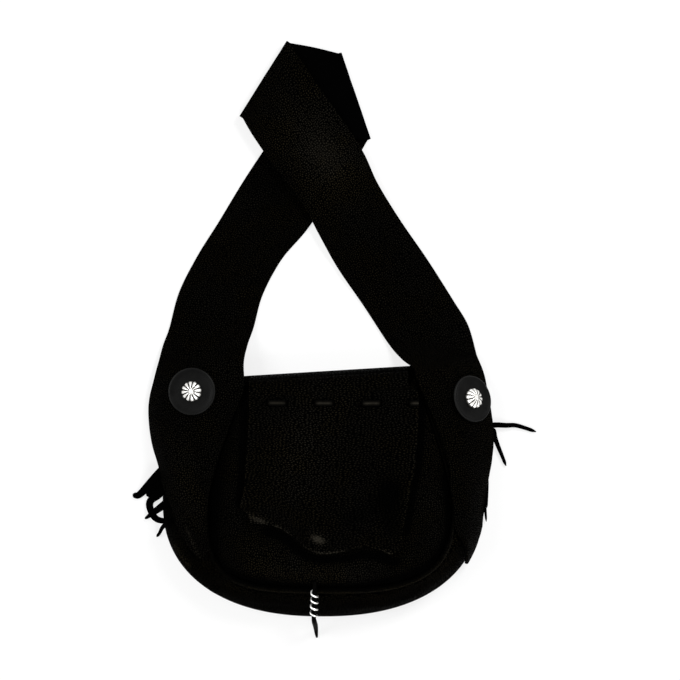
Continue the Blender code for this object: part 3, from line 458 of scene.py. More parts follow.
class Nodes:
    """Short calls for making and joining the shader nodes of a material or a world."""

    def __init__(self, owner, output="ShaderNodeOutputMaterial"):
        owner.use_nodes = True
        self.owner = owner
        self.tree = owner.node_tree
        self.tree.nodes.clear()
        self.output = self.add(output)

    def add(self, kind, inputs=None, **settings):
        node = self.tree.nodes.new(kind)
        for key, value in settings.items():
            setattr(node, key, value)
        for key, value in (inputs or {}).items():
            if isinstance(value, bpy.types.NodeSocket):
                self.tree.links.new(value, node.inputs[key])
            else:
                node.inputs[key].default_value = value
        return node

    def place(self, kind):
        return self.add("ShaderNodeTexCoord").outputs[kind]

    def attribute(self, name):
        return self.add("ShaderNodeAttribute", attribute_name=name).outputs["Fac"]

    def noise(self, place, scale, detail, output="Fac", roughness=0.5):
        inputs = {"Vector": place, "Scale": scale, "Detail": detail, "Roughness": roughness}
        return self.add("ShaderNodeTexNoise", inputs).outputs[output]

    def ramp(self, factor, stops):
        node = self.add("ShaderNodeValToRGB", {"Fac": factor})
        elements = node.color_ramp.elements
        while len(elements) < len(stops):
            elements.new(0.5)
        for element, (place, colour) in zip(elements, stops):
            element.position = place
            element.color = (*colour, 1)
        return node.outputs["Color"]

    def span(self, value, low, high, to_low=0.0, to_high=1.0):
        node = self.add("ShaderNodeMapRange", {"Value": value, "From Min": low, "From Max": high,
                                               "To Min": to_low, "To Max": to_high},
                        interpolation_type="SMOOTHSTEP")
        return node.outputs["Result"]

    def math(self, operation, a, b=0.0):
        node = self.add("ShaderNodeMath", {0: a, 1: b}, operation=operation)
        return node.outputs["Value"]

    def scaled(self, vector, factor):
        node = self.add("ShaderNodeVectorMath", {0: vector, "Scale": factor}, operation="SCALE")
        return node.outputs[0]

    def mapped(self, place, scale):
        return self.add("ShaderNodeMapping", {"Vector": place, "Scale": scale}).outputs[0]

    def mix(self, factor, a, b):
        node = self.add("ShaderNodeMix", {"Factor": factor, 6: a, 7: b}, data_type="RGBA")
        return node.outputs[2]

    def bump(self, height, strength, distance):
        inputs = {"Height": height, "Strength": strength, "Distance": distance}
        return self.add("ShaderNodeBump", inputs).outputs["Normal"]

    def seen(self):
        """1 for camera and glossy rays, 0 for the light that falls on the bag."""
        rays = self.add("ShaderNodeLightPath").outputs
        return self.math("MAXIMUM", rays["Is Camera Ray"], rays["Is Glossy Ray"])

    def shade(self, shader):
        self.tree.links.new(shader, self.output.inputs["Surface"])

    def blend_shaders(self, factor, a, b):
        mixed = self.add("ShaderNodeMixShader", {0: factor, 1: a.outputs[0], 2: b.outputs[0]})
        self.shade(mixed.outputs[0])

    def finish(self, colour, roughness, normal, shine=0.5, metallic=0.0):
        """Gives the material one Principled shader and returns the material."""
        shader = self.add("ShaderNodeBsdfPrincipled", {
            "Base Color": colour, "Roughness": roughness, "Specular IOR Level": shine,
            "Metallic": metallic, "Normal": normal})
        self.shade(shader.outputs[0])
        return self.owner


def shaded(colour, factor):
    return [c * factor for c in colour]


def leather(name, stretch=(1, 1, 1), depth=1.0, shine=GRAIN_SHINE, scale=1.0):
    """Pebbled grain leather: domed pebbles whose creases are painted dark as shade, and whose tops are
    paler, partly from wear and partly as a painted highlight. The light_and_wear attribute paints
    highlights above 0, with flatter grain, and painted shade below."""
    settings = bpy.context.scene.bag_leather
    colour = list(settings.colour)
    grain = settings.grain * scale
    n = Nodes(bpy.data.materials.new(name))
    place = n.place("UV")
    light_and_wear = n.attribute("light_and_wear")
    shift = n.scaled(n.noise(place, 0.11 / grain, 2.0, "Color"), grain * 3.2)
    moved = n.add("ShaderNodeVectorMath", {0: place, 1: shift}, operation="ADD").outputs[0]
    spaced = n.mapped(moved, stretch)

    def cells(feature, **inputs):
        inputs.update({"Vector": spaced, "Scale": 1 / grain, "Randomness": 0.85})
        node = n.add("ShaderNodeTexVoronoi", inputs, feature=feature, voronoi_dimensions="2D")
        return node.outputs["Distance"]

    edge = n.span(cells("DISTANCE_TO_EDGE"), 0.02, 0.3)
    dome = n.span(cells("SMOOTH_F1", Smoothness=0.35), 0.55, 0.05)
    pebble = n.math("MULTIPLY", edge, n.math("ADD", n.math("MULTIPLY", dome, 0.75), 0.25))
    patches = n.noise(place, 0.045 / grain, 3.0, roughness=0.6)
    pores = n.math("MULTIPLY", n.noise(place, 2.4 / grain, 3.0), 0.10)
    soft = n.span(patches, 0.3, 0.7, 0.6, 1.2)
    height = n.math("ADD", n.math("MULTIPLY", pebble, soft), pores)
    # Painted light: light_and_wear above 0 brightens the colour as a painted highlight, and above 1
    # turns it towards a smooth highlight shade; below 0 it darkens as painted shade. The grain's bump
    # flattens under strong marks.
    flatten_under_marks = n.span(n.math("ABSOLUTE", light_and_wear), 0.5, 2.0, 1.0, 0.3)
    bump = n.bump(height, flatten_under_marks, grain * 0.36 * depth)
    brown = [c * factor for c, factor in zip(colour, BROWN_TOP_WEAR_AND_HIGHLIGHT_SHADE)]
    low_stops = [(0.12, shaded(colour, CREASE_PAINTED_SHADE)), (0.5, colour)]
    grey_tint = n.ramp(pebble, low_stops + [(0.85, shaded(colour, TOP_WEAR_AND_HIGHLIGHT_SHADE))])
    brown_tint = n.ramp(pebble, low_stops + [(0.85, brown)])
    tint = n.mix(n.span(patches, 0.42, 0.62), grey_tint, brown_tint)
    gain = n.math("MAXIMUM", n.math("ADD", light_and_wear, 1.0), 0.05)
    highlighted = n.ramp(pebble, [(stop, shaded(colour, shade))
                             for stop, shade in enumerate(PAINTED_HIGHLIGHT_SHADES)])
    with_painted_light = n.mix(n.span(light_and_wear, 1.0, 3.5), n.scaled(tint, gain), highlighted)
    return n.finish(with_painted_light, n.span(pebble, 0.2, 1.0, 0.95, 0.3), bump, shine)


def flesh(name):
    """Matte suede side and cut edges."""
    colour = list(bpy.context.scene.bag_leather.flesh)
    n = Nodes(bpy.data.materials.new(name))
    place = n.place("UV")
    fibres = n.math("MULTIPLY", n.noise(place, 1400.0, 4.0, roughness=0.65), 0.6)
    nap = n.math("ADD", fibres, n.math("MULTIPLY", n.noise(place, 90.0, 3.0), 0.4))
    tint = n.ramp(nap, [(0.3, colour), (0.75, shaded(colour, 2.0))])
    return n.finish(tint, 0.95, n.bump(nap, 0.7, 0.0003), 0.005)


def smooth_leather(name, roughness, shade=1.0):
    """Flat-finished lace and cord leather with faint fibres."""
    colour = shaded(bpy.context.scene.bag_leather.colour, shade)
    n = Nodes(bpy.data.materials.new(name))
    place = n.place("Object")
    blots = n.noise(place, 160.0, 2.0)
    tint = n.ramp(blots, [(0.3, colour), (0.7, shaded(colour, 1.8))])
    # Painted light: light_and_wear above 0 brightens the colour as a painted highlight, below 0 darkens
    # it as painted shade
    lit_and_worn = n.scaled(tint, n.math("ADD", n.attribute("light_and_wear"), 1.0))
    gloss = n.span(blots, 0.3, 0.7, roughness - 0.06, roughness + 0.08)
    return n.finish(lit_and_worn, gloss, n.bump(n.noise(place, 700.0, 4.0), 0.6, 0.0002), 0.01)


def disc_finish():
    """Satin dark grey with fine turning marks, a few dull scuffs, and a painted highlight round the rim.
    """
    colour = list(bpy.context.scene.bag_hardware.disc)
    n = Nodes(bpy.data.materials.new("button disc"))
    place = n.place("UV")
    turned_marks = n.noise(n.mapped(place, (4.0, 2600.0, 1.0)), 1.0, 2.0)
    scuffs = n.noise(n.place("Object"), 110.0, 4.0)
    tint = n.ramp(scuffs, [(0.3, shaded(colour, 0.75)), (0.75, shaded(colour, 1.35))])
    outwards = n.add("ShaderNodeSeparateXYZ", {"Vector": place}).outputs["Y"]
    radius = DISC_DIAMETER / 2
    # Painted highlight: the colour brightens towards the rim's edge
    rim = n.span(outwards, radius - 1.6 * MM, radius - 0.6 * MM, 1.0, 2.6)
    gloss = n.span(scuffs, 0.3, 0.75, 0.34, 0.52)
    return n.finish(n.scaled(tint, rim), gloss, n.bump(turned_marks, 0.3, 0.00012), 0.05)


def silver():
    """Polished silver whose recesses, marked by the recess attribute, keep a dark patina."""
    material = bpy.data.materials.get("worked silver")
    if material:
        return material
    settings = bpy.context.scene.bag_hardware
    n = Nodes(bpy.data.materials.new("worked silver"))
    place = n.place("Object")
    cloud = n.span(n.noise(place, 420.0, 4.0), 0.2, 0.7, 0.8, 1.25)
    amount = n.math("MULTIPLY", n.attribute("recess"), cloud)
    tint = n.ramp(amount, [(0.25, settings.silver), (0.8, settings.patina)])
    gloss = n.span(amount, 0.2, 0.8, 0.3, 0.8)
    metal = n.span(amount, 0.35, 0.9, 1.0, 0.0)
    bump = n.bump(n.noise(place, 1500.0, 2.0), 0.15, 0.00004)
    return n.finish(tint, gloss, bump, 0.1, metal)


def steel():
    """Plain nickel-plated steel of the screws and the snap."""
    n = Nodes(bpy.data.materials.new("plated steel"))
    # On the steel this noise is only wear: random tone, gloss and bumps of the plating
    light_and_wear = n.noise(n.place("Object"), 600.0, 4.0)
    tint = n.ramp(light_and_wear, [(0.3, (0.36, 0.36, 0.35)), (0.7, (0.55, 0.55, 0.53))])
    gloss = n.span(light_and_wear, 0.3, 0.7, 0.25, 0.42)
    return n.finish(tint, gloss, n.bump(light_and_wear, 0.2, 0.0001), metallic=1.0)


def finishes(name, **grain):
    """Grain and flesh materials for one piece."""
    return [leather(name + " grain", **grain), flesh(name + " flesh")]


# Mesh helpers

# Share of a sheet's thickness that rounds its cut edges
EDGE_ROUNDING = 0.22


def write_map(bm, spot):
    """Sets the UV map from spot(vert)."""
    layer = bm.loops.layers.uv.active
    for face in bm.faces:
        for loop in face.loops:
            loop[layer].uv = spot(loop.vert)


def grid_shape(columns, rows, place, relief=None, light_and_wear=None, flip=True):
    """A grid laid on a surface: place(a, b) gives each point, relief(a, b, point) lifts it along its
    normal, light_and_wear(a, b, point) paints highlights and shade on it, and the UV map holds metres
    along and across it."""
    bm = bmesh.new()
    bm.loops.layers.uv.new("UVMap")
    lit_and_worn = bm.verts.layers.float.new("light_and_wear")
    bmesh.ops.create_grid(bm, x_segments=columns, y_segments=rows, size=0.5)
    spots = {}
    shares = {}
    for vert in bm.verts:
        i = round((vert.co.x + 0.5) * columns)
        j = round((vert.co.y + 0.5) * rows)
        spots[i, j] = vert
        shares[vert] = (i / columns, j / rows)
        vert.co = place(*shares[vert])
    middle = columns // 2
    reach = 0
    flat = {}
    for j in range(rows + 1):
        if j:
            reach += (spots[middle, j].co - spots[middle, j - 1].co).length
        for step in (1, -1):
            across = 0
            i = middle
            flat[spots[i, j]] = (0, reach)
            while 0 <= i + step <= columns:
                across += step * (spots[i + step, j].co - spots[i, j].co).length
                i += step
                flat[spots[i, j]] = (across, reach)
    write_map(bm, flat.get)
    if flip:
        bmesh.ops.reverse_faces(bm, faces=bm.faces)
    if relief:
        bm.normal_update()
        lifts = {vert: relief(*shares[vert], vert.co) for vert in bm.verts}
        for vert, lift in lifts.items():
            vert.co += vert.normal * lift
    if light_and_wear:
        for vert in bm.verts:
            vert[lit_and_worn] = light_and_wear(*shares[vert], vert.co)
    return bm


def as_object(name, bm, materials, sharp=50):
    mesh = bpy.data.meshes.new(name)
    bm.to_mesh(mesh)
    bm.free()
    for material in materials:
        mesh.materials.append(material)
    mesh.shade_smooth()
    mesh.set_sharp_from_angle(angle=math.radians(sharp))
    obj = bpy.data.objects.new(name, mesh)
    bpy.context.scene.collection.objects.link(obj)
    return obj


def thicken(obj, thickness):
    """Gives a sheet its thickness, flesh on its back and edges, and rounded cut edges."""
    solid = obj.modifiers.new("Hide", "SOLIDIFY")
    solid.thickness = thickness
    solid.offset = 0
    solid.use_quality_normals = True
    solid.material_offset = 1
    solid.material_offset_rim = 1
    round_edges = obj.modifiers.new("Cut edge", "BEVEL")
    round_edges.width = thickness * EDGE_ROUNDING
    round_edges.segments = 2
    round_edges.limit_method = "ANGLE"
    round_edges.angle_limit = math.radians(60)


def bake_modifiers(obj):
    """Applies the live modifiers to the object's own mesh."""
    graph = bpy.context.evaluated_depsgraph_get()
    mesh = bpy.data.meshes.new_from_object(obj.evaluated_get(graph))
    obj.modifiers.clear()
    obj.data = mesh


def closed(items):
    """Neighbouring pairs round a ring."""
    return list(zip(items, items[1:] + items[:1]))


def sweep(name, points, width, height, material, shares=None, sides=12, light_and_wear=None):
    """Tube of oval section along points, closed at both ends; shares scales each ring, and
    light_and_wear(share of the way, side from -1 to 1) paints highlights and shade on it."""
    count = len(points) - 1
    shares = shares or [1] * len(points)
    bm = bmesh.new()
    bm.loops.layers.uv.new("UVMap")
    lit_and_worn = bm.verts.layers.float.new("light_and_wear")
    bmesh.ops.create_circle(bm, segments=sides, radius=0.5)
    corners = [vert.co.copy() for vert in bm.verts]
    bmesh.ops.delete(bm, geom=bm.verts[:], context="VERTS")
    rings = []
    place = {}
    rise = Vector((0, 0, 1))
    reach = 0
    for k, point in enumerate(points):
        ahead = (points[min(k + 1, count)] - points[max(k - 1, 0)]).normalized()
        side = ahead.cross(rise).normalized()
        rise = side.cross(ahead).normalized()
        if k:
            reach += (point - points[k - 1]).length
        ring = []
        for m, c in enumerate(corners):
            across = side * c.x * width * shares[k]
            vert = bm.verts.new(point + across + rise * c.y * height * shares[k])
            place[vert] = (m / sides * width * 3, reach)
            if light_and_wear:
                vert[lit_and_worn] = light_and_wear(k / count, c.x * 2)
            ring.append(vert)
        for pair in closed(ring):
            bm.edges.new(pair)
        rings.append(ring)
    for low, high in zip(rings, rings[1:]):
        edges = [bm.edges.get(pair) for pair in closed(low) + closed(high)]
        bmesh.ops.bridge_loops(bm, edges=edges)
    bmesh.ops.contextual_create(bm, geom=rings[0])
    bmesh.ops.contextual_create(bm, geom=rings[-1])
    bmesh.ops.recalc_face_normals(bm, faces=bm.faces)
    write_map(bm, place.get)
    return as_object(name, bm, [material], sharp=60)


def turned(name, profile, material):
    """Ring turned about Z from a closed profile of (radius, height) pairs; its UV map holds the
    share of a turn and the metres outwards."""
    bm = bmesh.new()
    bm.loops.layers.uv.new("UVMap")
    verts = [bm.verts.new((radius, 0, height)) for radius, height in profile]
    edges = [bm.edges.new(pair) for pair in closed(verts)]
    bmesh.ops.spin(bm, geom=verts + edges, cent=(0, 0, 0), axis=(0, 0, 1),
                   angle=math.tau, steps=128, use_merge=True)
    bmesh.ops.remove_doubles(bm, verts=bm.verts, dist=0.00001)
    bmesh.ops.recalc_face_normals(bm, faces=bm.faces)
    write_map(bm, lambda vert: (math.atan2(vert.co.y, vert.co.x) / math.tau, vert.co.xy.length))
    return as_object(name, bm, [material], sharp=35)


def cut_size(bm):
    """Width and length of the flat cut, from the UV map, and its area, all in metres."""
    layer = bm.loops.layers.uv.active
    spots = [loop[layer].uv for face in bm.faces for loop in face.loops]
    width = max(spot.x for spot in spots) - min(spot.x for spot in spots)
    length = max(spot.y for spot in spots) - min(spot.y for spot in spots)
    return (width, length), sum(face.calc_area() for face in bm.faces)


def ride_as(obj, body, node):
    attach(obj, body)
    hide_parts(node)


# Body

BACK_INSET = 0.008
FRONT_TUCK = 2.6 * MM
GUSSET_TUCK = 2.2 * MM
FRONT_INSET = WELT_DIAMETER * 0.45
GUSSET_INSET = WELT_DIAMETER * 0.35
GATHER_ANGLE = 330
WELT_OVAL = 1.12
FRONT_CREASES = [
    ([(-96, -20), (-88, 5), (-84, 35), (-86, 60)], 5, -1.6),
    ([(-104, -35), (-98, -10), (-96, 15)], 4, 1.4),
    ([(-80, -30), (-76, -5), (-78, 20)], 4, 1.2),
    ([(88, 70), (98, 62), (104, 50)], 5, -1.5),
    ([(92, 60), (96, 30), (100, 5)], 4, -1.2),
    ([(-60, -62), (-20, -66), (20, -64), (60, -60)], 5, 0.9),
]
GUSSET_CREASES = [
    ([(-128, -52), (-110, -78), (-85, -93)], 4, 1.2),
    ([(-120, -50), (-104, -70), (-84, -83)], 3, -1.2),
    ([(-70, -98), (-30, -101), (5, -101)], 3.2, -1.0),
    ([(20, -100), (60, -97), (95, -84)], 3.2, 1.0),
    ([(70, -88), (95, -76), (112, -60)], 3, -1.1),
    ([(118, -20), (122, -50), (112, -72)], 3.5, 1.0),
]
SEAM_LINE = [tuple(front_seam(k / 60).xy / MM) for k in range(10, 51)]
# Painted light on the front panel: painted shade in the seam groove and along the bottom, under the
# flap's hem, beside the flap's sides and down the left; painted highlights low down and on the right
FRONT_PAINTED_LIGHT = [
    (SEAM_LINE, 6.5, -1.8),
    ([(108, 20), (113, -32), (108, -52), (93.5, -67), (67.5, -76), (24.5, -82), (-18.5, -81),
      (-70.5, -76), (-100.5, -65)], 4.5, -1.1),
    ([(-55, -32.5), (-43, -35), (-33.5, -38.5), (-24, -46.5), (-13.5, -55), (0, -58.5), (20, -57),
      (35, -53.5), (50.5, -55), (61, -59.5), (71.5, -56)], 3.2, -2.2),
    ([(-65.5, 105), (-68, 54), (-70, 11), (-73, -16)], 2.8, -1.5),
    ([(85, 105), (86, 54), (84, 24), (78, -6.5), (72, -40)], 2.8, -1.5),
    ([(-74, 95), (-84, 45), (-90, 10), (-94, -32), (-92, -62)], 9, -0.6),
    ([(-80, -40), (-40, -72), (10, -76), (70, -68)], 17, 1.1),
    ([(96, 20), (99, -15), (96, -50)], 12, 0.4),
]
# Painted light on the gusset: painted shade along the bottom and sides, and as shadows by the outer
# edges of the strap's ends; painted highlights on the left end's edge and on the ridge by the welt
GUSSET_PAINTED_LIGHT = [
    ([(-120, -60), (-60, -95), (0, -98), (60, -95), (120, -60)], 40, -0.3),
    ([(-143, 22), (-136, 0), (-130, -14), (-119.5, -35), (-108, -61)], 2.4, -0.95),
    ([(-146, 14), (-138, -8), (-131, -28)], 7, -0.7),
    ([(-131, -42), (-122.5, -55), (-112, -68)], 2.2, 1.6),
    ([(119, -20), (122, -36), (124, -52)], 5, -0.7),
    ([(-98, -74), (-60, -90), (0, -94), (60, -90), (100, -72), (118, -50)], 3, 0.5),
]


def back_point(a, v):
    """Point of the flat back panel, from the mouth (v 0) to the bottom."""
    left = outline(blend(BACK_INSET, 0.5, v))
    right = outline(blend(1 - BACK_INSET, 0.5, v))
    point = left.lerp(right, a)
    point.z = HIDE / 2
    return point


def front_relief(a, b, co):
    edge = smooth(min(a, 1 - a, 1 - b) / 0.06)
    return rumple(co, FRONT_CREASES, (0.9, 42, 1), (0.35, 14, 2)) * edge * MM


def front_point(a, v):
    """Point of the front panel, from the mouth (v 0) to its bottom, tucked under at the seam."""
    left = front_seam(FRONT_CORNER * v)
    right = front_seam(1 - FRONT_CORNER * v)
    bottom = front_seam(blend(FRONT_CORNER, 1 - FRONT_CORNER, a))
    top_x = blend(front_seam(0).x, front_seam(1).x, a)
    dip = smooth(min(a, 1 - a) / CORNER_DIP)
    top = Vector((top_x, mouth_y(top_x) - blend(SEAM_SETBACK, FRONT_SETBACK, dip), 0))
    ruled = left.lerp(right, a) + top.lerp(bottom, v)
    upper = front_seam(0).lerp(front_seam(1), a)
    lower = front_seam(FRONT_CORNER).lerp(front_seam(1 - FRONT_CORNER), a)
    point = ruled - upper.lerp(lower, v)
    x = FRONT_SHIFT + (point.x - FRONT_SHIFT) * (1 - FRONT_INSET / FRONT_HALF_WIDTH)
    y = point.y if v == 0 else blend(point.y, SHOULDER_Y, FRONT_INSET / FRONT_BOTTOM * v)
    tuck = 1 - smooth(min(a, 1 - a, (1 - v) * 1.3) / 0.05)
    return Vector((x, y, front_height(x, y) - tuck * FRONT_TUCK))


def gusset_relief(a, b, co):
    """Creases, and small gathers along the front seam."""
    lift = rumple(co, GUSSET_CREASES, (0.8, 34, 3), (0.35, 12, 4))
    gathers = 0.5 * math.sin(b * GATHER_ANGLE) * smooth((a - 0.6) / 0.3) * (0.5 + ripple(co, 20 * MM, 5))
    edge = smooth(min(a, 1 - a) / 0.12)
    return (lift + gathers) * edge * MM


def gusset_place(u, t):
    """Point of the gusset, stopped short of the front seam and tucked under the welt."""
    width = (front_seam(t) - outline(t)).xy.length
    point = gusset_point(t, u * (1 - GUSSET_INSET / width))
    point.z -= smooth((u - 0.93) / 0.07) * GUSSET_TUCK
    return point


class FRINGEBAG_OT_body(bpy.types.Operator):
    """Back panel, gusset and front panel of the pouch"""
    bl_idname = "fringe_bag.body"
    bl_label = "Pouch"

    def execute(self, context):
        hide = context.scene.bag_leather.hide
        gusset_painted_light = painted(GUSSET_PAINTED_LIGHT)
        front_painted_light = painted(FRONT_PAINTED_LIGHT)
        for node, bm, thickness, grain in (
                ("back_panel", grid_shape(40, 60, back_point), hide, {}),
                ("gusset", grid_shape(34, 420, gusset_place, gusset_relief, gusset_painted_light),
                 GUSSET_HIDE, {"depth": 0.6, "shine": 0.002}),
                ("front_panel", grid_shape(150, 130, front_point, front_relief, front_painted_light),
                 hide, {})):
            piece = as_object(node + "_leather", bm, finishes(node.replace("_", " "), **grain))
            thicken(piece, thickness)
            ride_as(piece, "bag", node)
        return {"FINISHED"}


class FRINGEBAG_OT_welt(bpy.types.Operator):
    """Rolled seam round the front panel"""
    bl_idname = "fringe_bag.welt"
    bl_label = "Front Welt"

    def execute(self, context):
        points = []
        shares = []
        steps = 260
        for k in range(steps + 1):
            point = front_seam(k / steps)
            point.z += WELT_LIFT
            point.z += 0.35 * MM * ripple(point, 9 * MM, 6)
            points.append(point)
            from_mouth = min(k, steps - k) / steps
            shares.append(blend(0.35, 1, smooth((from_mouth - 0.24) / 0.08)))
        grain_side = leather("welt grain", depth=0.7, scale=0.8)
        welt = sweep("welt_leather", points, WELT_DIAMETER * WELT_OVAL, WELT_DIAMETER,
                     grain_side, shares, sides=14, light_and_wear=self.light_and_wear)
        ride_as(welt, "bag", "front_welt")
        return {"FINISHED"}

    def light_and_wear(self, share, side):
        """Painted highlight outside along the bottom and the lower right, painted shade in the groove
        inside.
        """
        highlighted = smooth((share - 0.33) / 0.1) * smooth((0.8 - share) / 0.06)
        return 1.6 * highlighted * smooth(side * 1.4) - smooth(-side * 2)


# Flap

LIP_PART = 0.11
ROLL_PART = 0.2
LACE_END = along(FLAP_RIGHT_EDGE, LACE_Y / MM) * MM
LACE_SLOPE = 2.4 * MM
CORNER_CURL = (-59, -24)
CURL_RISE = 3.6 * MM
CURL_REACH = 8
HEM_WAVE = 0.9 * MM
SIDE_WAVE = 0.6 * MM
SLOT_SIZE = (1.7 * MM, LACE_WIDTH + 1.0 * MM, 10 * MM)
FLAP_CREASES = [
    ([(-62, 70), (-60, 35), (-63, 5), (-66, -15)], 4, 1.3),
    ([(-56, 60), (-52, 30), (-55, 0)], 3.5, -1.0),
    ([(40, -10), (52, -22), (60, -40)], 4, -1.8),
    ([(50, 0), (62, -14), (68, -32)], 4, 1.8),
    ([(30, -22), (42, -32), (50, -46)], 3.5, 1.4),
    ([(70, 60), (76, 30), (72, 0)], 3.5, -1.2),
    ([(62, 52), (66, 20), (62, -5)], 3.5, 1.0),
    ([(-40, -10), (-24, -22), (-14, -38)], 4, 1.0),
    ([(-30, 20), (10, 24), (50, 18)], 5, 0.7),
    ([(-20, 50), (20, 46), (60, 52)], 5, -0.6),
]
# Painted light on the flap: painted highlights on the snap's bump, the curled corner, the hem and the
# sides, and paler up the left of the middle; painted shade along the mouth's fold and on the lower right
FLAP_PAINTED_LIGHT = [
    ([(-14, -35), (-3, -39.5), (8, -44)], 3.9, 3.4),
    ([(-72, -16), (-57.5, -22.5), (-43, -29)], 3.8, 1.6),
    ([(-61, -21), (-43, -28), (-25, -37)], 2, 0.7),
    ([(x, mouth_y(x * MM) / MM) for x in (-95, 0, 95)], 4, -1.8),
    ([(-42, -27), (-29, -36), (-21.5, -43), (-12, -49), (0.5, -52), (20, -50.5), (35, -47),
      (50.5, -49), (66, -55.5)], 1.6, 2.1),
    ([(-63, 80), (-64, 50), (-66, 15), (-70, -16)], 1.4, 1.0),
    ([(82, 80), (82, 50), (79, 20), (73, -10), (68, -45)], 1.4, 0.8),
    ([(48, 30), (60, -5), (60, -52)], 10, -0.8),
    ([(8, -32), (43, -12), (78, 15)], 8, -0.6),
    ([(24, 112), (-18, 45), (-28, 2), (12, -26)], 26, 0.8),
]
LACE_DASH_STARTS = [LACE_START + k * LACE_PITCH for k in range(LACE_DASHES)]
LACE_SHADOWS = [
    ([(x / MM - 6, LACE_Y / MM), ((x + LACE_DASH) / MM + 6, LACE_Y / MM)], 3.4, -1.3)
    for x in LACE_DASH_STARTS
]


def flap_hang(x, y):
    """Height of the flap where it lies on the front panel, with its curled corner."""
    height = front_height(x, y) + flap_lift(x, y)
    away = math.hypot(x / MM - CORNER_CURL[0], y / MM - CORNER_CURL[1])
    return height + CURL_RISE * math.exp(-(away / CURL_REACH) ** 2)


def lip_point(a, f):
    """Point of the lip, from the back panel (f 0) up to the hinge line (f 1)."""
    table = LIP_PROFILE + [(HINGE_BACK, HINGE_HEIGHT)]
    key = f * (len(table) - 1)
    back, height = [eased([(k, row[n]) for k, row in enumerate(table)], key) for n in (0, 1)]
    lip_x = blend(FLAP_LEFT + LIP_MARGIN, FLAP_RIGHT - LIP_MARGIN, a)
    x = blend(lip_x, blend(FLAP_LEFT, FLAP_RIGHT, a), smooth(f))
    return Vector((x, mouth_y(x) - back, height))


def roll_point(a, f):
    """Point of the roll, from the hinge line (f 0) to where the flap has settled (f 1)."""
    x = blend(FLAP_LEFT, FLAP_RIGHT, a)
    swing = math.sin(math.pi / 2 * f)
    top = flap_hang(x, mouth_y(x) - FLAP_SETTLE)
    back = blend(HINGE_BACK, FLAP_SETTLE, swing ** 1.4)
    return Vector((x, mouth_y(x) - back, blend(HINGE_HEIGHT, top, swing ** 0.4)))


def hang_point(a, f):
    """Point of the part that lies on the front panel, from the roll (f 0) to its hem (f 1)."""
    top = mouth_y(blend(FLAP_LEFT, FLAP_RIGHT, a)) - FLAP_SETTLE
    foot_x = blend(FLAP_LOWER_EDGE[0][0], FLAP_LOWER_EDGE[-1][0], a)
    foot = eased(FLAP_LOWER_EDGE, foot_x) * MM
    foot += HEM_WAVE * ripple((foot_x * MM, 0, 0), 7 * MM, 8)
    y = blend(top, foot, f)
    left = eased([(top / MM, FLAP_LEFT / MM)] + FLAP_LEFT_EDGE, y / MM) * MM
    right = eased([(top / MM, FLAP_RIGHT / MM)] + FLAP_RIGHT_EDGE, y / MM) * MM
    left += SIDE_WAVE * ripple((0, y, 0), 9 * MM, 9)
    right += SIDE_WAVE * ripple((0, y, 1), 9 * MM, 10)
    x = blend(left, right, a)
    return Vector((x, y, flap_hang(x, y)))


def flap_sheet_point(a, b):
    """Point of the whole flap sheet: lip, roll over the hinge, then the hanging part."""
    if b < LIP_PART:
        return lip_point(a, b / LIP_PART)
    if b < ROLL_PART:
        return roll_point(a, (b - LIP_PART) / (ROLL_PART - LIP_PART))
    return hang_point(a, (b - ROLL_PART) / (1 - ROLL_PART))


def flap_relief(a, b, co):
    """Creases of the hanging part, its thick hem and sides, and wrinkles in the roll."""
    hang = smooth((b - ROLL_PART) / 0.08)
    lift = rumple(co, FLAP_CREASES, (0.7, 30, 11), (0.3, 11, 12))
    hem = smooth((b - 0.965) / 0.035)
    side = smooth((0.02 - min(a, 1 - a)) / 0.02)
    bump = math.exp(-((co.x - SNAP_X) ** 2 + (co.y - SNAP_Y) ** 2) / (16 * MM) ** 2)
    fold = 0.5 * ripple(co, 16 * MM, 13) * (1 - hang)
    return ((lift * (1 - 0.7 * bump) + 0.9 * hem + 0.6 * side) * hang + fold) * MM


def lace_level(x):
    return front_height(x, LACE_Y) + flap_lift(x, LACE_Y)


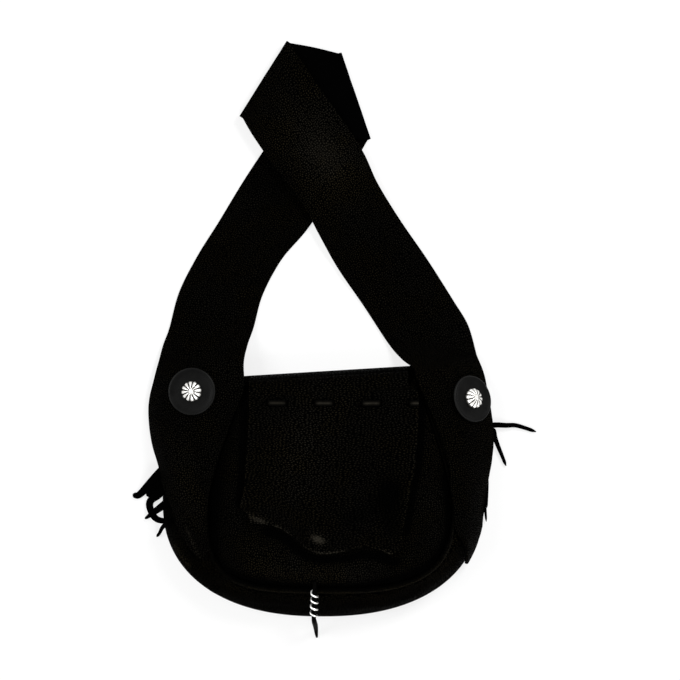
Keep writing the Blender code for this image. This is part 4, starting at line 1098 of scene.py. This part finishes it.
class FRINGEBAG_OT_flap(bpy.types.Operator):
    """Front flap, its fold at the mouth, and the lace woven through it"""
    bl_idname = "fringe_bag.flap"
    bl_label = "Flap and Lace"

    def execute(self, context):
        bm = grid_shape(120, 200, flap_sheet_point, flap_relief, painted(FLAP_PAINTED_LIGHT + LACE_SHADOWS))
        flat, area = cut_size(bm)
        flap = as_object("flap_leather", bm, finishes("flap", stretch=(0.62, 1.15, 1)))
        thicken(flap, context.scene.bag_leather.hide * SKIVED)
        bake_modifiers(flap)
        self.cut_slots(flap)
        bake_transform(flap)
        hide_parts("flap")
        lace = self.lace()
        ride_as(lace, "flap", "flap_lace")
        return {"FINISHED"}

    def cut_slots(self, flap):
        """Cuts a slot through the flap where each dash of the lace dives under it."""
        bm = bmesh.new()
        ends = [start + reach for start in LACE_DASH_STARTS for reach in (0, LACE_DASH)]
        for x in [end for end in ends if end < LACE_END]:
            made = bmesh.ops.create_cube(bm, size=1)
            bmesh.ops.scale(bm, vec=SLOT_SIZE, verts=made["verts"])
            bmesh.ops.translate(bm, vec=(x, LACE_Y, lace_level(x)), verts=made["verts"])
        cutter = as_object("slot_cutter", bm, [])
        boolean = flap.modifiers.new("Slots", "BOOLEAN")
        boolean.operation = "DIFFERENCE"
        boolean.solver = "EXACT"
        boolean.object = cutter
        bake_modifiers(flap)
        bpy.data.objects.remove(cutter, do_unlink=True)

    def lace(self):
        """Flat lace with a groove down its middle, over the flap in dashes and under it between."""
        ride = HIDE / 2 + LACE_THICKNESS / 2 + 0.2 * MM
        keys = [(LACE_START - LACE_TAIL, -1)]
        for start in LACE_DASH_STARTS:
            stop = start + LACE_DASH
            keys += [(start - LACE_SLOPE, -1), (start, 0), (start + LACE_SLOPE, 1)]
            if stop < LACE_END:
                keys += [(stop - LACE_SLOPE, 1), (stop, 0), (stop + LACE_SLOPE, -1)]
            else:
                keys += [(blend(start, stop, 0.5), 1)]
        first = keys[0][0]
        last = keys[-1][0]

        def place(a, b):
            x = blend(first, last, b)
            side = along(keys, x)
            side = math.copysign(smooth(abs(side)) ** 0.7, side) if side else 0
            across = a * 2 - 1
            groove = 0.45 * MM * math.exp(-(across / 0.28) ** 2)
            edge = 0.35 * MM * smooth((abs(across) - 0.8) / 0.2)
            slack = 0.35 * MM * max(0, side)
            z = lace_level(x) + side * ride + slack - groove - edge
            wander = 0.3 * MM * ripple((x, 0, 0), 18 * MM, 14)
            return Vector((x, LACE_Y + across * LACE_WIDTH / 2 + wander, z))

        # Painted highlight down the middle of each shown dash, painted shade over the rest of the lace
        def light_and_wear(a, b, co):
            share = (co.x - LACE_START) % LACE_PITCH / LACE_DASH
            shown = smooth(min(share, 1 - share) * 3.5)
            return 13 * shown * math.exp(-((a - 0.5) / 0.2) ** 2) - 0.6

        bm = grid_shape(12, 300, place, light_and_wear=light_and_wear)
        lace = as_object("lace_leather", bm, [smooth_leather("lace", 0.42), flesh("lace flesh")])
        thicken(lace, LACE_THICKNESS * 0.8)
        return lace


# Strap

STRAP_CREASES = [
    ([(-128, 132), (-110, 126), (-92, 128)], 5, 1.4),
    ([(-124, 121), (-104, 116), (-84, 119)], 5, -1.6),
    ([(-120, 158), (-98, 152), (-80, 158)], 6, 1.0),
    ([(-118, 100), (-100, 108), (-80, 104)], 5, 1.2),
    ([(66, 140), (84, 128), (100, 124)], 5, -1.6),
    ([(72, 128), (92, 116), (110, 118)], 5, 1.4),
    ([(60, 168), (78, 160), (96, 158)], 6, 0.9),
    ([(-70, 182), (-50, 196), (-30, 200)], 6, 1.2),
    ([(0, 176), (10, 196), (24, 212)], 6, -1.1),
]
# Painted light on the strap: paler where it lies on top, painted shade on the left leg by the crossing,
# paler on the left end, and a painted highlight along that end's edge
STRAP_PAINTED_LIGHT = [
    ([(-40, 366), (-10, 316), (7, 285), (40, 225)], 34, 1.5),
    ([(-75, 305), (-28, 259), (-8, 232)], 18, -0.6),
    ([(-126, 60), (-118, 2), (-110, -50)], 12, 0.7),
    ([(-118, -28), (-112.5, -42.5), (-104, -61)], 1.3, 1.5),
]
INNER_COVER = 0.05
INNER_SETTLE = 1.5 * MM
FOLD_STEPS = 10


def free_row(spec, outer_top, inner_top, columns):
    """Points across the strap where it lies on the floor or on itself, from a row of a leg."""
    across, above, angle, span, layer, climb_outer, climb_inner = spec
    centre = Vector((across * BODY_HALF_WIDTH, MOUTH_Y + above * MM, 0))
    reach = STRAP_WIDTH * span / 2
    cross = Vector((math.cos(math.radians(angle)), math.sin(math.radians(angle)), 0))
    lie = HIDE / 2 + layer * FOLD_SPACING
    outer = centre - cross * reach
    inner = centre + cross * reach
    outer.z = lie + climb_outer * (outer_top - lie)
    inner.z = lie + climb_inner * (inner_top - lie)
    crest = (climb_outer + climb_inner) / 2 * STRAP_CROWN
    row = []
    for i in range(columns + 1):
        f = i / columns
        point = outer.lerp(inner, f)
        point.z += crest * 4 * f * (1 - f)
        row.append(point)
    return row


def end_rows(table, side, columns):
    """Rows of points of one strap end, laid over the gusset."""
    rows = []
    for t, outer, inner in table:
        place = 1 - t if side else t
        row = []
        for i in range(columns + 1):
            f = i / columns
            settle = INNER_SETTLE * smooth((f - 0.86) / 0.14)
            cover = INNER_COVER * smooth((inner - 0.8) / 0.1)
            row.append(over_gusset(place, blend(outer, inner + cover, f), STRAP_RIDE - settle))
        rows.append(row)
    return rows


def fold_rows(row, outward):
    """Rows of points of the half turn that folds the strap over at a row."""
    radius = FOLD_SPACING / 2
    rows = []
    for k in range(1, FOLD_STEPS):
        turn = math.pi * k / FOLD_STEPS
        shift = outward * radius * math.sin(turn)
        shift.z = radius * (1 - math.cos(turn))
        rows.append([point + shift for point in row])
    return rows


def left_normal(spec):
    """Direction along the floor, square to a row of a leg."""
    angle = math.radians(spec[2])
    return Vector((-math.sin(angle), math.cos(angle), 0))


def strap_rows(columns, steps):
    """All rows of the strap, from its left end over both folds to its right end."""
    left_end = end_rows(LEFT_END, 0, columns)
    right_end = end_rows(RIGHT_END, 1, columns)
    left_top = (left_end[-1][0].z, left_end[-1][-1].z)
    right_top = (right_end[-1][0].z, right_end[-1][-1].z)
    left_leg = left_end + [free_row(spec, *left_top, columns) for spec in LEFT_LEG]
    right_leg = [free_row(spec, *right_top, columns) for spec in RIGHT_LEG] + right_end[::-1]
    middle = [free_row(spec, 0, 0, columns) for spec in MIDDLE]
    rows = densify(left_leg, steps)
    rows += fold_rows(left_leg[-1], left_normal(LEFT_LEG[-1]))
    rows += densify(middle, steps)
    rows += fold_rows(middle[-1], -left_normal(MIDDLE[-1]))
    rows += densify(right_leg, steps)
    for row in rows:
        for point in row:
            point.z = max(point.z, HIDE / 2)
    return rows


class FRINGEBAG_OT_strap(bpy.types.Operator):
    """Wide strap with its ends laid on the gusset and its loop folded over twice"""
    bl_idname = "fringe_bag.strap"
    bl_label = "Strap"

    def execute(self, context):
        columns = 34
        rows = strap_rows(columns, steps=14)
        last = len(rows) - 1

        def place(a, b):
            return rows[round(b * last)][round(a * columns)]

        def relief(a, b, co):
            flat = smooth(co.z / (14 * MM))
            lift = rumple(co, [], (0.25 + 0.5 * flat, 30, 15), (0.12 + 0.2 * flat, 10, 16))
            lift += 0.8 * rumple(co, STRAP_CREASES)
            return max(lift * MM, min(0, HIDE / 2 - co.z), -0.8 * MM)

        bm = grid_shape(columns, last, place, relief, painted(STRAP_PAINTED_LIGHT), flip=False)
        flat, area = cut_size(bm)
        strap = as_object("strap_leather", bm, finishes("strap", shine=0.005))
        thicken(strap, context.scene.bag_leather.hide * SKIVED)
        ride_as(strap, "bag", "strap")
        return {"FINISHED"}


# Buttons

CONCHO_TURN = math.radians(-9)
GROOVE_WIDTH = 0.48 * MM
GROOVE_DEPTH = 0.8 * MM
PETAL_ROUNDING = 0.5 * MM
PETAL_STEPS = 20
CONCHO_RINGS = 26


def button_frame(place, lift):
    """Matrix with its Z axis along the button's post, leant with the strap that the disc spans."""
    t, u, lean = place
    reach_t = DISC_DIAMETER / 2 / (BODY_HALF_WIDTH * 3)
    reach_u = DISC_DIAMETER / 2 / (BODY_HALF_WIDTH - FRONT_MOUTH_HALF_WIDTH)
    along_u = gusset_point(t, min(1, u + reach_u)) - gusset_point(t, max(0, u - reach_u))
    along_t = gusset_point(min(1, t + reach_t), u) - gusset_point(max(0, t - reach_t), u)
    normal = Vector((0, 0, 1)).lerp(along_t.cross(along_u).normalized(), lean).normalized()
    turn = normal.to_track_quat("Z", "Y").to_matrix().to_4x4()
    return Matrix.Translation(gusset_point(t, u) + normal * lift) @ turn


def concho(name, petals):
    """Domed rosette: raised, round-tipped petals with narrow dark grooves between them."""
    bm = bmesh.new()
    bmesh.ops.create_grid(bm, x_segments=petals * PETAL_STEPS, y_segments=CONCHO_RINGS, size=0.5)
    recess = bm.verts.layers.float.new("recess")
    rim_radius = CONCHO_DIAMETER / 2
    for vert in bm.verts:
        turn = (vert.co.x + 0.5) * math.tau
        f = vert.co.y + 0.5
        off = abs((turn * petals / math.tau) % 1 - 0.5) * 2
        half = math.pi * f * rim_radius / petals
        tip = math.sqrt(max(0, 1 - off ** 2 * 0.75))
        limit = blend(1.0, blend(0.80, 1.0, tip), smooth(f * 1.6 - 0.5))
        radius = rim_radius * f * limit
        reach = max(0.01 * MM, min(GROOVE_WIDTH, half * 0.44))
        groove = smooth((reach * 1.5 - (1 - off) * half) / reach)
        rounding = (1 - off ** 2) * PETAL_ROUNDING * smooth(f * 2)
        dome = (1 - f ** 2.4) * 0.85 + 0.3
        cut = GROOVE_DEPTH * groove * smooth(f * 6 - 0.7)
        height = CONCHO_HEIGHT * dome * 0.93 + rounding - cut
        height *= 1 - smooth((f - 0.955) / 0.045)
        vert[recess] = max(groove * smooth(f * 6 - 0.8), smooth((f - 0.93) / 0.07))
        vert.co = Vector((radius * math.cos(turn), radius * math.sin(turn), height))
    bmesh.ops.remove_doubles(bm, verts=bm.verts, dist=0.000002)
    rim = [edge for edge in bm.edges if edge.is_boundary]
    bmesh.ops.contextual_create(bm, geom=rim)
    bmesh.ops.recalc_face_normals(bm, faces=bm.faces)
    return as_object(name, bm, [silver()], sharp=60)


class FRINGEBAG_OT_buttons(bpy.types.Operator):
    """Two discs, their silver conchos, and the steel of the screws and the snap"""
    bl_idname = "fringe_bag.buttons"
    bl_label = "Buttons and Snap"

    def execute(self, context):
        grey = disc_finish()
        seat = STRAP_RIDE + HIDE / 2 + DISC_SEAT
        for side, place in (("left", LEFT_BUTTON), ("right", RIGHT_BUTTON)):
            disc = turned(side + "_disc", self.disc_profile(), grey)
            disc.data.transform(button_frame(place, seat))
            ride_as(disc, "bag", side + "_button_disc")
            rosette = concho(side + "_rosette", context.scene.bag_hardware.petals)
            turn = Matrix.Rotation(CONCHO_TURN, 4, "Z")
            rosette.data.transform(button_frame(place, seat + DISC_THICKNESS) @ turn)
            ride_as(rosette, "bag", side + "_concho")
        plated = steel()
        for node in ("left_button_screw", "right_button_screw", "snap_stud", "snap_socket"):
            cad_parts[node].data.materials.clear()
            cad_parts[node].data.materials.append(plated)
        return {"FINISHED"}

    def disc_profile(self):
        """Dished face with a raised, bevelled rim, as (radius, height) pairs."""
        radius = DISC_DIAMETER / 2
        hole = POST_DIAMETER / 2
        side = [(1.4, 0), (0.5, 0.3), (0, 1.0), (0, 1.5)]
        rim = [(0.25, 0.55), (0.8, 0.1), (1.5, 0), (2.2, 0.12), (3.0, 0.45), (5.5, 0.6)]
        dish = [(11, 0.55), (7, 0.35)]
        return ([(hole, 0)] + [(radius - inset * MM, height * MM) for inset, height in side]
                + [(radius - inset * MM, DISC_THICKNESS - drop * MM) for inset, drop in rim]
                + [(reach * MM, DISC_THICKNESS - drop * MM) for reach, drop in dish]
                + [(hole, DISC_THICKNESS - 0.1 * MM)])


# Fringe and thongs

def strand_centres(t, points, table, side):
    """Points down the middle of a strand, from inside the strap's edge to its tip."""
    edges = [(row[0], row[1]) for row in table][::-1]
    u = along(edges, t)
    spot = 1 - t if side else t
    out = max(0, u - 0.02)
    inner = over_gusset(spot, u + ROOT_DEPTH, ROOT_LIFT)
    start = over_gusset(spot, out, ROOT_LIFT)
    slope = start - over_gusset(spot, out + 0.03, ROOT_LIFT)
    leave = start + slope.normalized() * STRAND_LEAVE
    edge = outline(spot)
    centre = [inner, start, leave] + [edge + Vector(point) * MM for point in points]
    return [row[0] for row in densify([[point] for point in centre], 12)]


def strand(name, spec, table, side, materials):
    """One cut strand: a narrow tapering strip of hide, slightly cupped and twisted."""
    t, root_width, tip_width, points = spec
    centres = strand_centres(t, points, table, side)
    last = len(centres) - 1
    seed = t * 100

    def place(a, b):
        k = round(b * last)
        centre = centres[k]
        ahead = (centres[min(k + 1, last)] - centres[max(k - 1, 0)]).normalized()
        side_way = Vector((-ahead.y, ahead.x, 0)).normalized()
        rise = side_way.cross(ahead).normalized()
        if rise.z < 0:
            rise = -rise
        twist = 0.5 * ripple((b * 0.03, seed, 0), 14 * MM, 17) * smooth((b - 0.3) / 0.3)
        side_way = side_way * math.cos(twist) + rise * math.sin(twist)
        share = max(0, (b - 0.2) / 0.8) ** STRAND_TAPER
        half = blend(root_width, tip_width, share) * MM / 2
        half *= 1 - 0.75 * smooth((b - 0.93) / 0.07)
        across = a * 2 - 1
        cup = 0.12 * half * (1 - across ** 2) * smooth((b - 0.3) / 0.3)
        return centre + side_way * across * half + rise * cup

    obj = as_object(name, grid_shape(6, last, place, flip=False), materials)
    thicken(obj, FRINGE_HIDE)
    return obj


class FRINGEBAG_OT_fringe(bpy.types.Operator):
    """Cut strands at both strap ends and the two tails of the tie thong"""
    bl_idname = "fringe_bag.fringe"
    bl_label = "Fringe and Tie"

    def execute(self, context):
        materials = finishes("fringe", depth=0.6)
        for group, table, side, node in ((LEFT_FRINGE, LEFT_END, 0, "left_fringe"),
                                         (RIGHT_FRINGE, RIGHT_END, 1, "right_fringe"),
                                         (TIE_THONG, RIGHT_END, 1, "tie_thong")):
            for k, spec in enumerate(group):
                piece = strand(f"{node}_{k + 1}", spec, table, side, materials)
                ride_as(piece, "bag", node)
        return {"FINISHED"}


def thong_point(spec):
    """Middle of the thong, from its place in mm and its share of the bottom seam's height."""
    across, below, share = spec
    seam = front_seam(0.5)
    height = max(seam.z * share, THONG_DIAMETER / 2 * THONG_TAPER[-1] + GAP)
    return Vector((across * MM, seam.y + below * MM, height))


class FRINGEBAG_OT_thong(bpy.types.Operator):
    """Thong that hangs over the bottom seam, wound with silver wire"""
    bl_idname = "fringe_bag.thong"
    bl_label = "Bottom Thong"

    def execute(self, context):
        steps = 8
        route = [[thong_point(spec)] for spec in THONG_ROUTE]
        points = [row[0] for row in densify(route, steps)]
        keys = list(enumerate(THONG_TAPER))
        shares = [eased(keys, k / steps) for k in range(len(points))]
        thong = sweep("thong_leather", points, THONG_DIAMETER, THONG_DIAMETER,
                      smooth_leather("thong", 0.5, shade=0.4), shares)
        ride_as(thong, "bag", "bottom_thong")
        wire = self.wire()
        ride_as(wire, "bag", "wire_spiral")
        length = sum((b - a).length for a, b in zip(points, points[1:]))
        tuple(points[0])
        return {"FINISHED"}

    def wire(self):
        """Open coil of wire round the straight part of the thong."""
        top = thong_point(THONG_ROUTE[2])
        axis = (thong_point(THONG_ROUTE[5]) - top).normalized()
        top += axis * COIL_START
        right = Vector((1, 0, 0))
        right = (right - axis * right.dot(axis)).normalized()
        front = right.cross(axis).normalized()
        if front.z < 0:
            front = -front
        radius = THONG_DIAMETER / 2 + GAP + WIRE_DIAMETER / 2
        per_turn = 40
        points = []
        for k in range(WIRE_TURNS * per_turn + 1):
            turn = math.tau * k / per_turn - math.pi / 3
            down = axis * WIRE_PITCH * k / per_turn
            ring = (front * math.sin(turn) - right * math.cos(turn)) * radius
            points.append(top + down + ring)
        return sweep("spiral_wire", points, WIRE_DIAMETER * WIRE_OVAL, WIRE_DIAMETER, silver(),
                     sides=16)


# Stage

class FRINGEBAG_OT_stage(bpy.types.Operator):
    """Floor, soft lamps and the camera that looks straight down"""
    bl_idname = "fringe_bag.stage"
    bl_label = "Stage"

    def execute(self, context):
        settings = context.scene.bag_stage
        scene = context.scene
        scene.view_settings.view_transform = "Standard"
        bm = bmesh.new()
        bmesh.ops.create_grid(bm, x_segments=1, y_segments=1, size=4)
        floor = as_object("floor", bm, [self.floor_finish(settings.floor)])
        data = bpy.data.cameras.new("camera")
        data.sensor_width = SENSOR
        data.lens = SENSOR * settings.camera_height / settings.view_width
        data.clip_start = 0.05
        camera = bpy.data.objects.new("camera", data)
        camera.location = (*CAMERA_OVER, settings.camera_height)
        scene.collection.objects.link(camera)
        scene.camera = camera
        self.lamp("key", (0.35, -1.0, 1.05), size=0.7, power=8)
        self.lamp("fill", (-1.0, 0.3, 1.0), size=0.8, power=9)
        self.lamp("back", (0.75, 0.95, 1.0), size=0.6, power=15)
        self.world(scene)
        return {"FINISHED"}

    def floor_finish(self, colour):
        """White backdrop that still takes faint shadows."""
        n = Nodes(bpy.data.materials.new("floor"))
        plain = n.add("ShaderNodeBsdfDiffuse", {"Color": (*colour, 1)})
        white = n.add("ShaderNodeEmission", {"Color": (1, 1, 1, 1), "Strength": 1.0})
        n.blend_shaders(n.math("MULTIPLY", n.seen(), FLOOR_GLOW), plain, white)
        return n.owner

    def lamp(self, name, place, size, power):
        """Round soft lamp, aimed at the middle of the bag."""
        data = bpy.data.lights.new(name, "AREA")
        data.shape = "DISK"
        data.size = size
        data.energy = power
        lamp = bpy.data.objects.new(name, data)
        lamp.location = place
        aim = Vector((0, 0.08, 0)) - Vector(place)
        lamp.rotation_euler = aim.to_track_quat("-Z", "Y").to_euler()
        bpy.context.scene.collection.objects.link(lamp)

    def world(self, scene):
        """White where the camera or a glossy surface sees it, dimmer as a light."""
        scene.world = bpy.data.worlds.new("studio")
        n = Nodes(scene.world, "ShaderNodeOutputWorld")
        white = (1, 1, 1, 1)
        dim = n.add("ShaderNodeBackground", {"Color": white, "Strength": WORLD_LIGHT})
        bright = n.add("ShaderNodeBackground", {"Color": white, "Strength": 1.0})
        n.blend_shaders(n.seen(), dim, bright)


class FRINGEBAG_PT_panel(bpy.types.Panel):
    bl_label = "Fringe Bag"
    bl_idname = "FRINGEBAG_PT_panel"
    bl_space_type = "VIEW_3D"
    bl_region_type = "UI"
    bl_category = "Fringe Bag"

    def draw(self, context):
        for group in ("bag_leather", "bag_hardware", "bag_stage"):
            settings = getattr(context.scene, group)
            box = self.layout.box()
            for key in settings.bl_rna.properties.keys():
                if key not in ("rna_type", "name"):
                    box.prop(settings, key)
        for operator in OPERATORS:
            self.layout.operator(operator.bl_idname)


OPERATORS = (FRINGEBAG_OT_stage, FRINGEBAG_OT_body, FRINGEBAG_OT_welt, FRINGEBAG_OT_flap,
             FRINGEBAG_OT_buttons, FRINGEBAG_OT_fringe, FRINGEBAG_OT_strap, FRINGEBAG_OT_thong)
GROUPS = (("bag_leather", LeatherSettings), ("bag_hardware", HardwareSettings),
          ("bag_stage", StageSettings))


def register():
    for name, group in GROUPS:
        bpy.utils.register_class(group)
        setattr(bpy.types.Scene, name, PointerProperty(type=group))
    for operator in OPERATORS:
        bpy.utils.register_class(operator)
    bpy.utils.register_class(FRINGEBAG_PT_panel)


def unregister():
    bpy.utils.unregister_class(FRINGEBAG_PT_panel)
    for operator in reversed(OPERATORS):
        bpy.utils.unregister_class(operator)
    for name, group in reversed(GROUPS):
        delattr(bpy.types.Scene, name)
        bpy.utils.unregister_class(group)


def main():
    register()
    bpy.ops.fringe_bag.stage()
    bpy.ops.fringe_bag.body()
    bpy.ops.fringe_bag.welt()
    bpy.ops.fringe_bag.flap()
    bpy.ops.fringe_bag.buttons()
    bpy.ops.fringe_bag.fringe()
    bpy.ops.fringe_bag.strap()
    bpy.ops.fringe_bag.thong()


if __name__ == "__main__":
    main()
